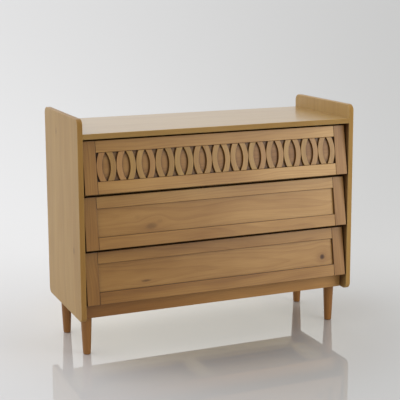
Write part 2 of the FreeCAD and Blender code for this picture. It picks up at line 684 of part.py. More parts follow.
def make_drawer(name, step):
    """Make one drawer at its level in the case."""
    upright = f"placement(vector(0; {FRONT}; {drawer_level(step)}); rotation(vector(-1; 0; 0); 0))"
    leaning = f"placement(vector(0; {FRONT}; {drawer_level(step)}); rotation(vector(-1; 0; 0); front_tilt))"
    front_pins = []
    stile_holes = {}
    side_holes = {}
    for side, sign in SIDES:
        spots = [(f"{sign} * ({SIDE_IN} + drawer_side / 2)", "frame_board", along("0", FRONT_LENGTH, share))
                 for share in FRONT_DOWEL_SHARES]
        pins, holes = dowels(f"{name}_{side}_front", spots, REARWARD, "dowel_in_stile", "dowel_in_end")
        front_pins += pins
        stile_holes[side] = holes
        side_holes[side] = group(f"{name}_{side}_front_holes", holes)
        bind(side_holes[side], Placement=TILTED_BACK)
    make_front(name, leaning, stile_holes)
    back_pins = make_box(name, upright, side_holes)
    leaning_pins = group(f"{name}_front_pins", front_pins)
    bind(leaning_pins, Placement=TILTED_BACK)
    node(f"{name}_dowels", group(f"{name}_dowels", [leaning_pins] + back_pins), upright)
    return leaning


for step, drawer in enumerate(DRAWERS):
    top_leaning = make_drawer(drawer, step)

# Lens lattice: curved slats in facing pairs, glued to the panel of the top drawer
lens_pitch = f"(2 * {FRAME_HALF} / lens_count)"
half_tall = f"(({OPENING_HIGH} - {OPENING_LOW}) / 2 - slat_play)"
bow = f"({lens_pitch} / 2 - slat_gap / 2 - slat_width - tip_gap / 2)"
inner_radius = f"(({half_tall} * {half_tall} + {bow} * {bow}) / (2 * {bow}))"
outer_radius = f"({inner_radius} + slat_width)"
for side, sign in SIDES:
    body = doc.addObject("PartDesign::Body", f"lattice_{side}_body")
    sketch = new_sketch(body, "XZ_Plane")
    hub = f"{-sign} * ({inner_radius} - {bow} - tip_gap / 2)"
    hub_at = FreeCAD.Vector(value(hub), 0, 0)
    tall = value(half_tall)
    ends = []
    for radius in (inner_radius, outer_radius):
        run = math.sqrt((value(radius) - tall) * (value(radius) + tall))
        low = FreeCAD.Vector(hub_at.x + sign * run, -tall, 0)
        middle = FreeCAD.Vector(hub_at.x + sign * value(radius), 0, 0)
        high = FreeCAD.Vector(hub_at.x + sign * run, tall, 0)
        sketch.addGeometry(Part.Arc(low, middle, high))
        ends.append((low, high))
    sketch.addGeometry(Part.LineSegment(ends[0][0], ends[1][0]))
    sketch.addGeometry(Part.LineSegment(ends[1][1], ends[0][1]))
    # An arc runs counterclockwise, so its first end is the lower one on the right and the upper on the left
    low_end, high_end = (1, 2) if sign > 0 else (2, 1)
    sketch.addConstraint(Sketcher.Constraint("Coincident", 2, 1, 0, low_end))
    sketch.addConstraint(Sketcher.Constraint("Coincident", 2, 2, 1, low_end))
    sketch.addConstraint(Sketcher.Constraint("Coincident", 3, 1, 1, high_end))
    sketch.addConstraint(Sketcher.Constraint("Coincident", 3, 2, 0, high_end))
    sketch.addConstraint(Sketcher.Constraint("Coincident", 0, 3, 1, 3))
    sketch.addConstraint(Sketcher.Constraint("PointOnObject", 0, 3, -1))
    sketch.addConstraint(Sketcher.Constraint("Horizontal", 2))
    sketch.addConstraint(Sketcher.Constraint("Horizontal", 3))
    fix(sketch, "DistanceX", (-1, 1, 0, 3), hub)
    fix(sketch, "Radius", (0,), inner_radius)
    fix(sketch, "Radius", (1,), outer_radius)
    fix(sketch, "DistanceY", (-1, 1, 0, low_end), f"-{half_tall}")
    fix(sketch, "DistanceY", (-1, 1, 0, high_end), half_tall)
    slat = pad(body, sketch, "slat_board")
    eased = dress(body, "Chamfer", "slat_ease", lambda box: box.YMax < -value("slat_board") / 2)
    row = body.newObject("PartDesign::LinearPattern", f"lattice_{side}_row")
    row.Originals = [slat, eased]
    row.Direction = (plane(body, "X_Axis"), [""])
    bind(row, Length=f"{lens_pitch} * (lens_count - 1)", Occurrences="lens_count")
    body.Tip = row
    first = f"({lens_pitch} / 2 - {FRAME_HALF})"
    middle = f"(({OPENING_HIGH} + {OPENING_LOW}) / 2)"
    local = f"placement(vector({first}; panel_recess; {middle}); rotation(vector(1; 0; 0); 0))"
    node(f"drawer_top_lattice_{side}", body, f"{top_leaning} * {local}")

doc.recompute()
for thing in doc.Objects:
    if "Invalid" in thing.State or "Error" in thing.State:
        raise RuntimeError(f"{thing.Label} did not compute")
os.makedirs("parts", exist_ok=True)
for thing in nodes:
    shape = thing.Shape
    if shape.isNull() or not shape.isValid() or not shape.Solids:
        raise RuntimeError(f"{thing.Label} has no valid shape")
    solids = shape.Solids
    kept = solids[0] if len(solids) == 1 else Part.makeCompound(solids)
    kept.exportStep(f"parts/{thing.Label}.step")
    print(thing.Label, len(solids), round(shape.Volume))
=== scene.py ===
"""Looks of a low pine chest of three drawers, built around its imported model.

The classes hold sizes in millimetres; a mesh is in metres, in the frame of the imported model.
"""

import json
import logging
import math
from collections.abc import Callable, Iterable
from dataclasses import dataclass, field
from enum import Enum

import bmesh
import bpy
from mathutils import Matrix, Quaternion, Vector

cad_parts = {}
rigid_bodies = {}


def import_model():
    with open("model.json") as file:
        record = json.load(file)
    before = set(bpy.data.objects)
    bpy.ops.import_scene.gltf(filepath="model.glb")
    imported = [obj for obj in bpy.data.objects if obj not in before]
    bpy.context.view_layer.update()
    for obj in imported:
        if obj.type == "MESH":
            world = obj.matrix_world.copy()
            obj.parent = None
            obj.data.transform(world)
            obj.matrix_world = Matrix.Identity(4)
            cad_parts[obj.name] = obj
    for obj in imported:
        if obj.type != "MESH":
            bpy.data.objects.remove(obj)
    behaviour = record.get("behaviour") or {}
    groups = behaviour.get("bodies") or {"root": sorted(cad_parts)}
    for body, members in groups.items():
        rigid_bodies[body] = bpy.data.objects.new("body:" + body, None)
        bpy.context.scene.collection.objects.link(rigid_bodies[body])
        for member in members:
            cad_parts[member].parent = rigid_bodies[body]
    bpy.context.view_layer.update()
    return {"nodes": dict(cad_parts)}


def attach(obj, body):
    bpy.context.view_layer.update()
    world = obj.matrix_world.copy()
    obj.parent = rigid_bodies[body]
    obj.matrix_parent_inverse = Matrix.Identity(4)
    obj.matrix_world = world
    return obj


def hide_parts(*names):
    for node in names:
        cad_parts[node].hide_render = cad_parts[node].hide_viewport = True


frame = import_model()
LOG = logging.getLogger("chest")
MM = 0.001
# In mm: what counts as touching, the room round a piece in its groove or well, and how far a cutter overruns
TOUCH = 0.01
PLAY = 0.1
OVERRUN = 1.0
SMOOTH_ANGLE = math.radians(50)
BORE_SIDES = 32
SLAT_NUMBER = "slat"

Point = tuple[float, float, float]
Span = tuple[float, float]
Piece = bpy.types.Object
Tree = bpy.types.NodeTree
Socket = bpy.types.NodeSocket
EdgeTest = Callable[[Vector, Vector], bool]

RIGHT: Point = (1, 0, 0)
FRONT: Point = (0, -1, 0)
REAR: Point = (0, 1, 0)
UP: Point = (0, 0, 1)
DOWN: Point = (0, 0, -1)
SIDES = (("left", -1), ("right", 1))


class Body(Enum):
    """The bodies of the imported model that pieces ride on."""

    CASE = "case"
    BOTTOM = "drawer_bottom"
    MIDDLE = "drawer_middle"
    TOP = "drawer_top"


class Slot(Enum):
    """The names of the finishes."""

    CASE = "pine_case"
    FRONT = "pine_front"
    LATTICE = "pine_lattice"
    BOX = "pine_box"
    BEECH = "beech"
    STEEL = "zinc_plated_steel"
    ZINC = "die_cast_zinc"


class Sawn(Enum):
    """Where the heart of the tree lies from the middle of a board, across it and behind its face, in mm."""

    CROWN = (6.0, -34.0)
    RIFT = (58.0, -52.0)


def linear(code: str) -> tuple[float, float, float, float]:
    """Turn an sRGB hex colour into the linear colour that a shader takes.

    Args:
        code: The colour as #rrggbb.

    Returns:
        Red, green, blue and a full alpha.
    """
    shares = [int(code[i:i + 2], 16) / 255 for i in (1, 3, 5)]
    parts = [s / 12.92 if s <= 0.04045 else ((s + 0.055) / 1.055) ** 2.4 for s in shares]
    return (*parts, 1.0)


def metres(point: Iterable[float]) -> Vector:
    """Turn a point in millimetres into metres."""
    return Vector(point) * MM


def add(tree: Tree, kind: str, feeds: dict | tuple = (), out: int | str = 0, **settings: object) -> Socket:
    """Add a shader node with its settings, and feed its inputs.

    Args:
        tree: The node tree that gets the node.
        kind: The node's type, without the ShaderNode in front.
        feeds: Sockets to link and values to set, by the input's name or number, or in the inputs' order.
        out: The output to hand back, by name or number.
        settings: Properties of the node itself.

    Returns:
        The chosen output.
    """
    made = tree.nodes.new("ShaderNode" + kind)
    for name, value in settings.items():
        setattr(made, name, value)
    inputs = feeds if isinstance(feeds, dict) else dict(enumerate(feeds))
    for name, value in inputs.items():
        if isinstance(value, Socket):
            tree.links.new(value, made.inputs[name])
        else:
            made.inputs[name].default_value = value
    return made.outputs[out] if len(made.outputs) else made


def ramp(socket: Socket, stops: Iterable[Span]) -> Socket:
    """Set the grey stops of a colour ramp.

    Args:
        socket: The ramp's output.
        stops: Place and grey of each stop.

    Returns:
        The same output.
    """
    band = socket.node.color_ramp
    stops = list(stops)
    while len(band.elements) < len(stops):
        band.elements.new(0.5)
    for element, (place, grey) in zip(band.elements, stops):
        element.position = place
        element.color = (grey, grey, grey, 1)
    return socket


def new_material(name: str) -> tuple[bpy.types.Material, Tree]:
    """Start a material with an empty node tree.

    Args:
        name: The real material's name, with the piece that wears it.

    Returns:
        The material and its tree.
    """
    material = bpy.data.materials.new(name)
    material.use_nodes = True
    material.node_tree.nodes.clear()
    return material, material.node_tree


def wear(piece: Piece, material: bpy.types.Material, shader: Socket) -> None:
    """Close a material with its shader, and give it to a piece all over.

    Args:
        piece: The piece.
        material: The material.
        shader: The output of its last shader.
    """
    add(material.node_tree, "OutputMaterial", {"Surface": shader})
    piece.data.materials.clear()
    piece.data.materials.append(material)


def settle(piece: Piece, body: Body, node: str) -> None:
    """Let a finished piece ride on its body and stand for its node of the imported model.

    Args:
        piece: The finished piece.
        body: The body that it moves with.
        node: The node that it stands for.
    """
    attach(piece, body.value)
    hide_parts(node)
    LOG.info("%s rides on %s and has %d faces", piece.name, body.value, len(piece.data.polygons))


@dataclass(frozen=True)
class Round:
    """The round of an eased edge: its radius in mm, and the facets across it."""

    radius: float
    facets: int


# Edges that are only broken, edges that are sanded, and edges that a hand meets
BROKEN = Round(0.5, 2)
SANDED = Round(0.8, 2)
HANDLED = Round(1.5, 3)


@dataclass(frozen=True)
class Stand:
    """The frame that a piece is shaped in: its origin in mm and how far it leans back, in degrees."""

    origin: Point = (0.0, 0.0, 0.0)
    lean: float = 0.0

    @property
    def turn(self) -> Matrix:
        """The rotation of this frame."""
        return Matrix.Rotation(-math.radians(self.lean), 3, "X")

    def world(self, point: Iterable[float]) -> Vector:
        """Turn a point of this frame, in mm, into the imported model's frame, in mm."""
        return Vector(self.origin) + self.turn @ Vector(point)


@dataclass(frozen=True)
class Knot:
    """A knot in a board, in mm from the board's middle, along and across the grain.

    It is longer than wide by its stretch. The dark is the depth of its core, and the ring that of a fine
    ring round it.
    """

    along: float
    across: float
    radius: float
    stretch: float = 1.3
    dark: float = 0.9
    ring: float = 0.0


@dataclass(frozen=True)
class Corner:
    """Painted shade in the inner corners of a board, darkest where occlusion finds the place least open.

    It reaches so many mm out of a corner, with this depth in it. It ends at a place along the board and
    starts at a distance from its middle line, both in mm.
    """

    reach: float
    depth: float
    end: float = 1000.0
    start: float = -1.0


@dataclass(frozen=True)
class Lay:
    """How the grain lies in a board.

    The centre is in mm. Staves are the strips that a wide board is glued up from; a stave of 0 is one
    board. The fade is how far the tone rises in a metre along the grain, as painted light. The seam gives
    half the length and half the width of a board whose eased edges darken, with stain and painted shade,
    and the corner the painted shade where other pieces meet its face. The seed moves the figure, so that
    no two boards show the same piece of tree.
    """

    centre: Vector
    along: Vector
    face: Vector
    sawn: Sawn
    seed: float
    stave: float = 0.0
    tone: float = 1.0
    fade: float = 0.0
    seam: Span | None = None
    knots: tuple[Knot, ...] = ()
    corner: Corner | None = None

    @property
    def turn(self) -> Point:
        """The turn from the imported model's axes to along, across and out of the board."""
        axes = Matrix((self.along, self.face.cross(self.along), self.face)).transposed()
        return tuple(axes.to_euler("XYZ"))

    def coordinates(self, tree: Tree) -> Socket:
        """Add the coordinates in the board.

        Args:
            tree: The material's tree.

        Returns:
            The place along the board, across it and out of its face, in metres.
        """
        coords = add(tree, "TexCoord", out="Object")
        return add(tree, "Mapping", {"Vector": coords, "Location": self.centre * MM, "Rotation": self.turn},
                   vector_type="TEXTURE")

    def flatness(self, tree: Tree) -> Socket:
        """Add how nearly a surface lies in the board's face.

        Args:
            tree: The material's tree.

        Returns:
            1 on the face, 0 on an edge.
        """
        normal = add(tree, "TexCoord", out="Normal")
        facing = add(tree, "VectorMath", (normal, tuple(self.face)), out="Value", operation="DOT_PRODUCT")
        return add(tree, "Math", (facing,), operation="ABSOLUTE")


def pick(piece: Piece) -> None:
    """Make a piece the only one selected, and the active one.

    Args:
        piece: The piece.
    """
    bpy.ops.object.select_all(action="DESELECT")
    piece.select_set(True)
    bpy.context.view_layer.objects.active = piece


def cut_out(piece: Piece, tool: Piece) -> None:
    """Take a tool's shape out of a piece, and put the tool away.

    Args:
        piece: The piece.
        tool: A solid in the shape of the cut.
    """
    pick(piece)
    saw = piece.modifiers.new("cut", "BOOLEAN")
    saw.operation = "DIFFERENCE"
    saw.solver = "EXACT"
    saw.object = tool
    bpy.ops.object.modifier_apply(modifier=saw.name)
    bpy.data.objects.remove(tool)


def sand(piece: Piece) -> None:
    """Smooth the rounds of a piece and keep its flat faces flat.

    Args:
        piece: The piece.
    """
    pick(piece)
    bpy.ops.object.shade_smooth_by_angle(angle=SMOOTH_ANGLE)
    normals = piece.modifiers.new("normals", "WEIGHTED_NORMAL")
    normals.keep_sharp = True
    normals.weight = 100
    bpy.ops.object.modifier_apply(modifier=normals.name)


def turn_solid(name: str, sides: int, outline: Iterable[Span]) -> Piece:
    """Turn a solid on the lathe.

    Args:
        name: Name of the piece.
        sides: Facets round it.
        outline: Radius and height of each step in mm, from one end to the other.

    Returns:
        The solid, round the upright axis through the origin.
    """
    (radius, level), *steps = outline
    bpy.ops.object.select_all(action="DESELECT")
    bpy.ops.mesh.primitive_circle_add(vertices=sides, radius=radius * MM, fill_type="NGON")
    piece = bpy.context.active_object
    piece.name = name
    bpy.ops.object.mode_set(mode="EDIT")
    bpy.ops.mesh.select_all(action="SELECT")
    for wider, higher in steps:
        bpy.ops.mesh.extrude_region_move(TRANSFORM_OT_translate={"value": (0, 0, (higher - level) * MM)})
        bpy.ops.transform.resize(value=(wider / radius, wider / radius, 1))
        radius, level = wider, higher
    bpy.ops.mesh.select_all(action="SELECT")
    bpy.ops.mesh.normals_make_consistent(inside=False)
    bpy.ops.object.mode_set(mode="OBJECT")
    return piece


def join(pieces: list[Piece], name: str) -> Piece:
    """Join loose copies into one piece that is named for all of them.

    Args:
        pieces: The copies, each with its own mesh.
        name: The joined piece's name.

    Returns:
        The joined piece, at the origin.
    """
    bpy.ops.object.select_all(action="DESELECT")
    for piece in pieces:
        piece.select_set(True)
    bpy.context.view_layer.objects.active = pieces[0]
    bpy.ops.object.transform_apply(location=True, rotation=True, scale=True)
    bpy.ops.object.join()
    whole = bpy.context.active_object
    whole.name = name
    whole.data.name = name
    return whole


def copy_at(pattern: Piece, at: Point, turn: Quaternion = Quaternion()) -> Piece:
    """Copy a piece with its own mesh, turned, to a place in mm.

    Args:
        pattern: The piece that was modelled.
        at: Where its origin goes.
        turn: How it is turned about its origin.

    Returns:
        The copy.
    """
    twin = pattern.copy()
    twin.data = pattern.data.copy()
    bpy.context.scene.collection.objects.link(twin)
    twin.rotation_euler = turn.to_euler()
    twin.location = metres(at)
    return twin


@dataclass
class Blank:
    """A piece on the bench, shaped in its own stand from a rectangular block between two corners in mm."""

    name: str
    low: Point
    high: Point
    stand: Stand = Stand()
    piece: Piece = field(init=False)

    def __post_init__(self) -> None:
        """Saw the block to size."""
        size = Vector(self.high) - Vector(self.low)
        bpy.ops.object.select_all(action="DESELECT")
        bpy.ops.mesh.primitive_cube_add(size=1, location=metres(self.middle), scale=metres(size))
        self.piece = bpy.context.active_object
        self.piece.name = self.name
        self.piece.data.name = self.name
        bpy.ops.object.transform_apply(location=True, rotation=True, scale=True)

    @property
    def middle(self) -> Vector:
        """The middle of the block, in its stand."""
        return (Vector(self.low) + Vector(self.high)) / 2

    def select_edges(self, chosen: EdgeTest) -> None:
        """Select edges in edit mode.

        Args:
            chosen: The test that the two ends of an edge, in mm, have to pass.
        """
        bpy.ops.mesh.select_mode(type="EDGE")
        bpy.ops.mesh.select_all(action="DESELECT")
        mesh = bmesh.from_edit_mesh(self.piece.data)
        for edge in mesh.edges:
            first, second = (vertex.co / MM for vertex in edge.verts)
            edge.select_set(chosen(first, second))
        bmesh.update_edit_mesh(self.piece.data)

    def ease(self, edge: Round, chosen: EdgeTest) -> None:
        """Round edges over.

        Args:
            edge: The round that they get.
            chosen: The test that the two ends of an edge have to pass.
        """
        pick(self.piece)
        bpy.ops.object.mode_set(mode="EDIT")
        self.select_edges(chosen)
        bpy.ops.mesh.bevel(offset=edge.radius * MM, segments=edge.facets, profile=0.5, affect="EDGES")
        bpy.ops.object.mode_set(mode="OBJECT")

    def slide_edge(self, shift: Point, chosen: EdgeTest) -> None:
        """Move edges.

        Args:
            shift: How far they move, in mm.
            chosen: The test that the two ends of an edge have to pass.
        """
        pick(self.piece)
        bpy.ops.object.mode_set(mode="EDIT")
        self.select_edges(chosen)
        bpy.ops.transform.translate(value=metres(shift))
        bpy.ops.object.mode_set(mode="OBJECT")

    def groove(self, low: Point, high: Point) -> None:
        """Plough a rectangular groove between two corners in mm."""
        cut_out(self.piece, Blank(f"{self.name}_groove", low, high).piece)

    def bore(self, at: Point, toward: Point, radius: float, depth: float, tip: float | None = None) -> None:
        """Drill a hole, or a countersink where a tip radius is given.

        Args:
            at: The hole's mouth in mm.
            toward: The way that the drill goes, as a unit vector.
            radius: Radius at the mouth in mm.
            depth: Depth in mm.
            tip: Radius at the end in mm; the mouth's radius if left out.
        """
        way = Vector(toward)
        middle = Vector(at) + way * (depth - OVERRUN) / 2
        end = radius if tip is None else tip
        start = radius + OVERRUN * (radius - end) / depth
        bpy.ops.object.select_all(action="DESELECT")
        bpy.ops.mesh.primitive_cone_add(vertices=BORE_SIDES, radius1=start * MM, radius2=end * MM,
                                        depth=(depth + OVERRUN) * MM, location=metres(middle),
                                        rotation=Vector(UP).rotation_difference(way).to_euler())
        tool = bpy.context.active_object
        bpy.ops.object.transform_apply(location=True, rotation=True, scale=True)
        cut_out(self.piece, tool)

    def finish(self) -> Piece:
        """Stand the piece in its place and sand it: smooth rounds, flat faces.

        Returns:
            The finished piece, at the origin, with its place in its mesh.
        """
        sand(self.piece)
        self.piece.rotation_euler = self.stand.turn.to_euler()
        self.piece.location = metres(self.stand.origin)
        pick(self.piece)
        bpy.ops.object.transform_apply(location=True, rotation=True, scale=True)
        return self.piece

    def lay(self, along: Point, face: Point, sawn: Sawn, seed: float, **more: object) -> Lay:
        """Describe the grain of this piece.

        Args:
            along: The way that the grain runs, in the stand's frame.
            face: The way that the board's face looks, in the stand's frame.
            sawn: How the board was sawn.
            seed: What moves the figure.
            more: Other fields of the lay.

        Returns:
            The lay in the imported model's frame.
        """
        turn = self.stand.turn
        centre = self.stand.world(self.middle)
        return Lay(centre, turn @ Vector(along), turn @ Vector(face), sawn, seed, **more)


@dataclass(frozen=True)
class Pine:
    """Solid pine, planed and sanded, under a thin satin lacquer or left bare.

    The eye gets straight fibres, the darker late wood of each year as soft stripes that arch where the saw
    ran flat to the rings, strips of slightly different tone in wide boards, and small brown knots.
    """

    name: str
    early: str
    late: str
    knot: str
    roughness: float
    coat: float = 0.0
    shine: float = 0.5
    # How strongly years, fibres and staves show, and how far the tone wanders in soft clouds
    figure: float = 1.0
    mottle: float = 0.2
    # Tone of the sawn edges beside the face, darker as painted shade, and how much of a darker tone is a
    # deeper colour
    edge_shade: float = 1.0
    richness: float = 0.6
    # Years are about 3 mm apart in the tree; drawn this far apart, in mm, or they would not show
    year: float = 6.0
    # Fibres are 0.05 mm wide; drawn this wide, in mm, for the same reason, and so many times as long
    fibre: float = 2.6
    fibre_stretch: float = 36.0
    # How far, in mm, the grain wanders off its line and the rings off their heart
    crook: float = 24.0
    sway: float = 22.0
    # Waves in a metre along, across and through the wood: of crooked grain, swaying rings and soft clouds
    crook_waves: Point = (3.4, 5.0, 5.0)
    sway_waves: Point = (2.2, 10.0, 10.0)
    cloud_waves: Point = (3.0, 11.0, 11.0)
    # How far the rings widen along the trunk, and how fast good and bad spells of years follow
    taper: float = 0.016
    spell_pace: float = 0.31
    # Late wood over the course of a year, and its least depth in a lean one
    season: tuple[Span, ...] = ((0.0, 0.2), (0.1, 0.0), (0.45, 0.12), (0.8, 0.8), (0.92, 1.0), (1.0, 0.2))
    lean_year: float = 0.1
    # Where, in metres, the next stave or slat lies in its tree: along, across and through
    jump: Point = (9.0, 0.05, 0.04)
    # Share of the late colour that years, fibres and spells bring, and the spread of tone from stave to stave
    year_depth: float = 0.32
    fibre_depth: float = 0.22
    spell_depth: float = 0.3
    stave_spread: float = 0.07
    # Levels of their noise between which fibres, spells and clouds come up
    fibre_levels: Span = (0.36, 0.68)
    spell_levels: Span = (0.25, 0.75)
    cloud_levels: Span = (0.28, 0.72)
    # Depth of the grain to the touch in mm, how strongly light shows it, and the part of the late wood in it
    grain_depth: float = 0.25
    grain_strength: float = 0.22
    late_part: float = 0.35
    # Roughness between the fibres and on them, beside the wood's own, and that of a polish
    rough_span: Span = (-0.05, 0.06)
    coat_rough: float = 0.13
    ior: float = 1.5
    # In radii of a knot: how far the grain flows round it, and where its rim and its core fade out
    knot_flow: float = 4.2
    knot_rim: Span = (1.1, 3.2)
    knot_core: Span = (0.75, 1.5)
    # Share of the way to a knot that the grain gives, depth of the rim, and waves and depth of ragged edges
    knot_push: float = 0.78
    rim_depth: float = 0.5
    ragged: Span = (0.6, 0.9)
    # Where a fine ring round a knot starts, peaks and ends, in its diameters
    knot_ring: Point = (0.55, 0.62, 0.69)
    # Stain and painted shade in an eased edge: full up to, and lost from, these mm, and how dark it is
    seam_width: Span = (0.3, 1.6)
    seam_depth: float = 0.85
    # How open a place is where painted shade in a corner is full and where it is lost, and the rays that find
    # out
    corner_levels: Span = (0.42, 0.92)
    corner_rays: int = 8
    # How squarely a surface looks out of the face where it counts as edge and as face
    edge_levels: Span = (0.15, 0.8)

    def dress(self, piece: Piece, lay: Lay) -> None:
        """Give a piece this wood, with the grain as it lies in that board.

        Args:
            piece: The piece.
            lay: How the grain lies.
        """
        material, tree = new_material(f"{self.name}_{piece.name}")
        board = lay.coordinates(tree)
        flowing = self.flow_round_knots(tree, self.wander(tree, board, lay), lay)
        wood, chance = self.split_in_staves(tree, flowing, lay)
        year, spell = self.grow_rings(tree, wood, lay)
        fibre = self.draw_fibres(tree, wood)
        base, value = self.colour(tree, wood, (year, spell, fibre, chance))
        colour = self.deepen(tree, base, value, board, lay)
        colour = self.stain_knots(tree, colour, board, lay)
        # Stain with painted shade in the eased edges where boards meet
        if lay.seam:
            colour = self.stain_and_shade_seam(tree, colour, board, lay.seam)
        # Painted shade in the inner corners
        if lay.corner:
            colour = self.paint_corner_shade(tree, colour, board, lay.corner)
        relief = add(tree, "Math", (year, self.late_part, fibre), operation="MULTIPLY_ADD")
        bump = add(tree, "Bump", {"Height": relief, "Strength": self.grain_strength,
                                  "Distance": self.grain_depth * MM})
        smooth, rough = (self.roughness + more for more in self.rough_span)
        shader = add(tree, "BsdfPrincipled", {
            "Base Color": colour, "Roughness": add(tree, "MapRange", (fibre, 0.0, 1.0, smooth, rough)),
            "IOR": self.ior, "Normal": bump, "Specular IOR Level": self.shine, "Coat Weight": self.coat,
            "Coat Roughness": self.coat_rough, "Coat IOR": self.ior})
        wear(piece, material, shader)

    def wander(self, tree: Tree, board: Socket, lay: Lay) -> Socket:
        """Let the grain wander a little up and down, as a trunk that grew crooked does.

        Args:
            tree: The material's tree.
            board: Coordinates in the board.
            lay: How the grain lies.

        Returns:
            The crooked coordinates.
        """
        slow = add(tree, "Mapping", {"Vector": board, "Location": (lay.seed, 0, 0),
                                     "Scale": self.crook_waves})
        bend = add(tree, "TexNoise", {"Vector": slow, "Scale": 1.0, "Detail": 1.0}, out="Color")
        half = self.crook * MM
        shift = add(tree, "VectorMath", (bend, (0, 2 * half, 0), (0, -half, 0)), operation="MULTIPLY_ADD")
        return add(tree, "VectorMath", (board, shift), operation="ADD")

    def flow_round_knots(self, tree: Tree, board: Socket, lay: Lay) -> Socket:
        """Spread the grain so that it flows round each knot.

        Args:
            tree: The material's tree.
            board: Coordinates in the board.
            lay: How the grain lies.

        Returns:
            The spread coordinates.
        """
        spread = board
        for knot in lay.knots:
            off, reach = self.knot_distance(tree, board, knot)
            pull = add(tree, "MapRange", (reach, 0.0, self.knot_flow, -self.knot_push, 0.0),
                       interpolation_type="SMOOTHERSTEP")
            across = add(tree, "VectorMath", (off, (0, 1, 0)), operation="MULTIPLY")
            pushed = add(tree, "VectorMath", {0: across, "Scale": pull}, operation="SCALE")
            spread = add(tree, "VectorMath", (spread, pushed), operation="ADD")
        return spread

    def knot_distance(self, tree: Tree, board: Socket, knot: Knot) -> tuple[Socket, Socket]:
        """Measure from a knot in its own radii.

        Args:
            tree: The material's tree.
            board: Coordinates in the board.
            knot: The knot.

        Returns:
            The way from the knot in metres, and its distance in radii.
        """
        middle = (knot.along * MM, knot.across * MM, 0)
        off = add(tree, "VectorMath", (board, middle), operation="SUBTRACT")
        radii = 1 / (knot.radius * MM)
        flat = add(tree, "VectorMath", (off, (radii / knot.stretch, radii, 0)), operation="MULTIPLY")
        return off, add(tree, "VectorMath", (flat,), out="Value", operation="LENGTH")

    def split_in_staves(self, tree: Tree, board: Socket, lay: Lay) -> tuple[Socket, Socket]:
        """Glue a wide board up from staves of different trees.

        Args:
            tree: The material's tree.
            board: Coordinates in the board.
            lay: How the grain lies.

        Returns:
            Coordinates in the tree that the wood came from, and three chances for each stave.
        """
        number = self.stave_number(tree, board, lay)
        chance = add(tree, "TexWhiteNoise", {"W": number}, out="Color", noise_dimensions="1D")
        start = (lay.seed, -self.jump[1] / 2, -self.jump[2] / 2)
        away = add(tree, "VectorMath", (chance, self.jump, start), operation="MULTIPLY_ADD")
        return add(tree, "VectorMath", (board, away), operation="ADD"), chance

    def stave_number(self, tree: Tree, board: Socket, lay: Lay) -> Socket | float:
        """Number the staves across a board.

        Args:
            tree: The material's tree.
            board: Coordinates in the board.
            lay: How the grain lies.

        Returns:
            The number of each stave, or the seed of a board in one piece.
        """
        if not lay.stave:
            return lay.seed
        across = add(tree, "SeparateXYZ", (board,), out="Y")
        share = add(tree, "Math", (across, 1 / (lay.stave * MM), lay.seed), operation="MULTIPLY_ADD")
        return add(tree, "Math", (share,), operation="FLOOR")

    def grow_rings(self, tree: Tree, wood: Socket, lay: Lay) -> tuple[Socket, Socket]:
        """Grow the rings round the heart of the tree.

        Args:
            tree: The material's tree.
            wood: Coordinates in the tree.
            lay: How the grain lies.

        Returns:
            The dark stripe of each year, and the slow change over good and bad spells of years.
        """
        slow = add(tree, "Mapping", {"Vector": wood, "Scale": self.sway_waves})
        sway = add(tree, "TexNoise", {"Vector": slow, "Scale": 1.0, "Detail": 2.0}, out="Color")
        across, behind = ((off + self.sway / 2) * MM for off in lay.sawn.value)
        swayed = add(tree, "VectorMath", (sway, (0, self.sway * MM, self.sway * MM), (0, -across, -behind)),
                     operation="MULTIPLY_ADD")
        off = add(tree, "VectorMath", (wood, swayed), operation="ADD")
        section = add(tree, "VectorMath", (off, (0, 1, 1)), operation="MULTIPLY")
        radius = add(tree, "VectorMath", (section,), out="Value", operation="LENGTH")
        along = add(tree, "SeparateXYZ", (wood,), out="X")
        cone = add(tree, "Math", (along, self.taper, radius), operation="MULTIPLY_ADD")
        age = add(tree, "Math", (cone, 1 / (self.year * MM)), operation="MULTIPLY")
        season = add(tree, "Math", (age,), operation="FRACT")
        late = ramp(add(tree, "ValToRGB", (season,)), self.season)
        number = add(tree, "Math", (age,), operation="FLOOR")
        weather = add(tree, "TexWhiteNoise", {"W": number}, out="Value", noise_dimensions="1D")
        strength = add(tree, "MapRange", (weather, 0.0, 1.0, self.lean_year, 1.0))
        stripe = add(tree, "Math", (late, strength), operation="MULTIPLY")
        years = add(tree, "Math", (age, self.spell_pace), operation="MULTIPLY")
        return stripe, add(tree, "TexNoise", {"W": years, "Scale": 1.0, "Detail": 1.5}, noise_dimensions="1D")

    def draw_fibres(self, tree: Tree, wood: Socket) -> Socket:
        """Draw the long fibres and the resin streaks between them.

        Args:
            tree: The material's tree.
            wood: Coordinates in the tree.

        Returns:
            The level of the fibres.
        """
        fine = 1 / (self.fibre * MM)
        long = add(tree, "Mapping", {"Vector": wood, "Scale": (fine / self.fibre_stretch, fine, fine)})
        return add(tree, "TexNoise", {"Vector": long, "Scale": 1.0, "Detail": 3.0, "Roughness": 0.6})

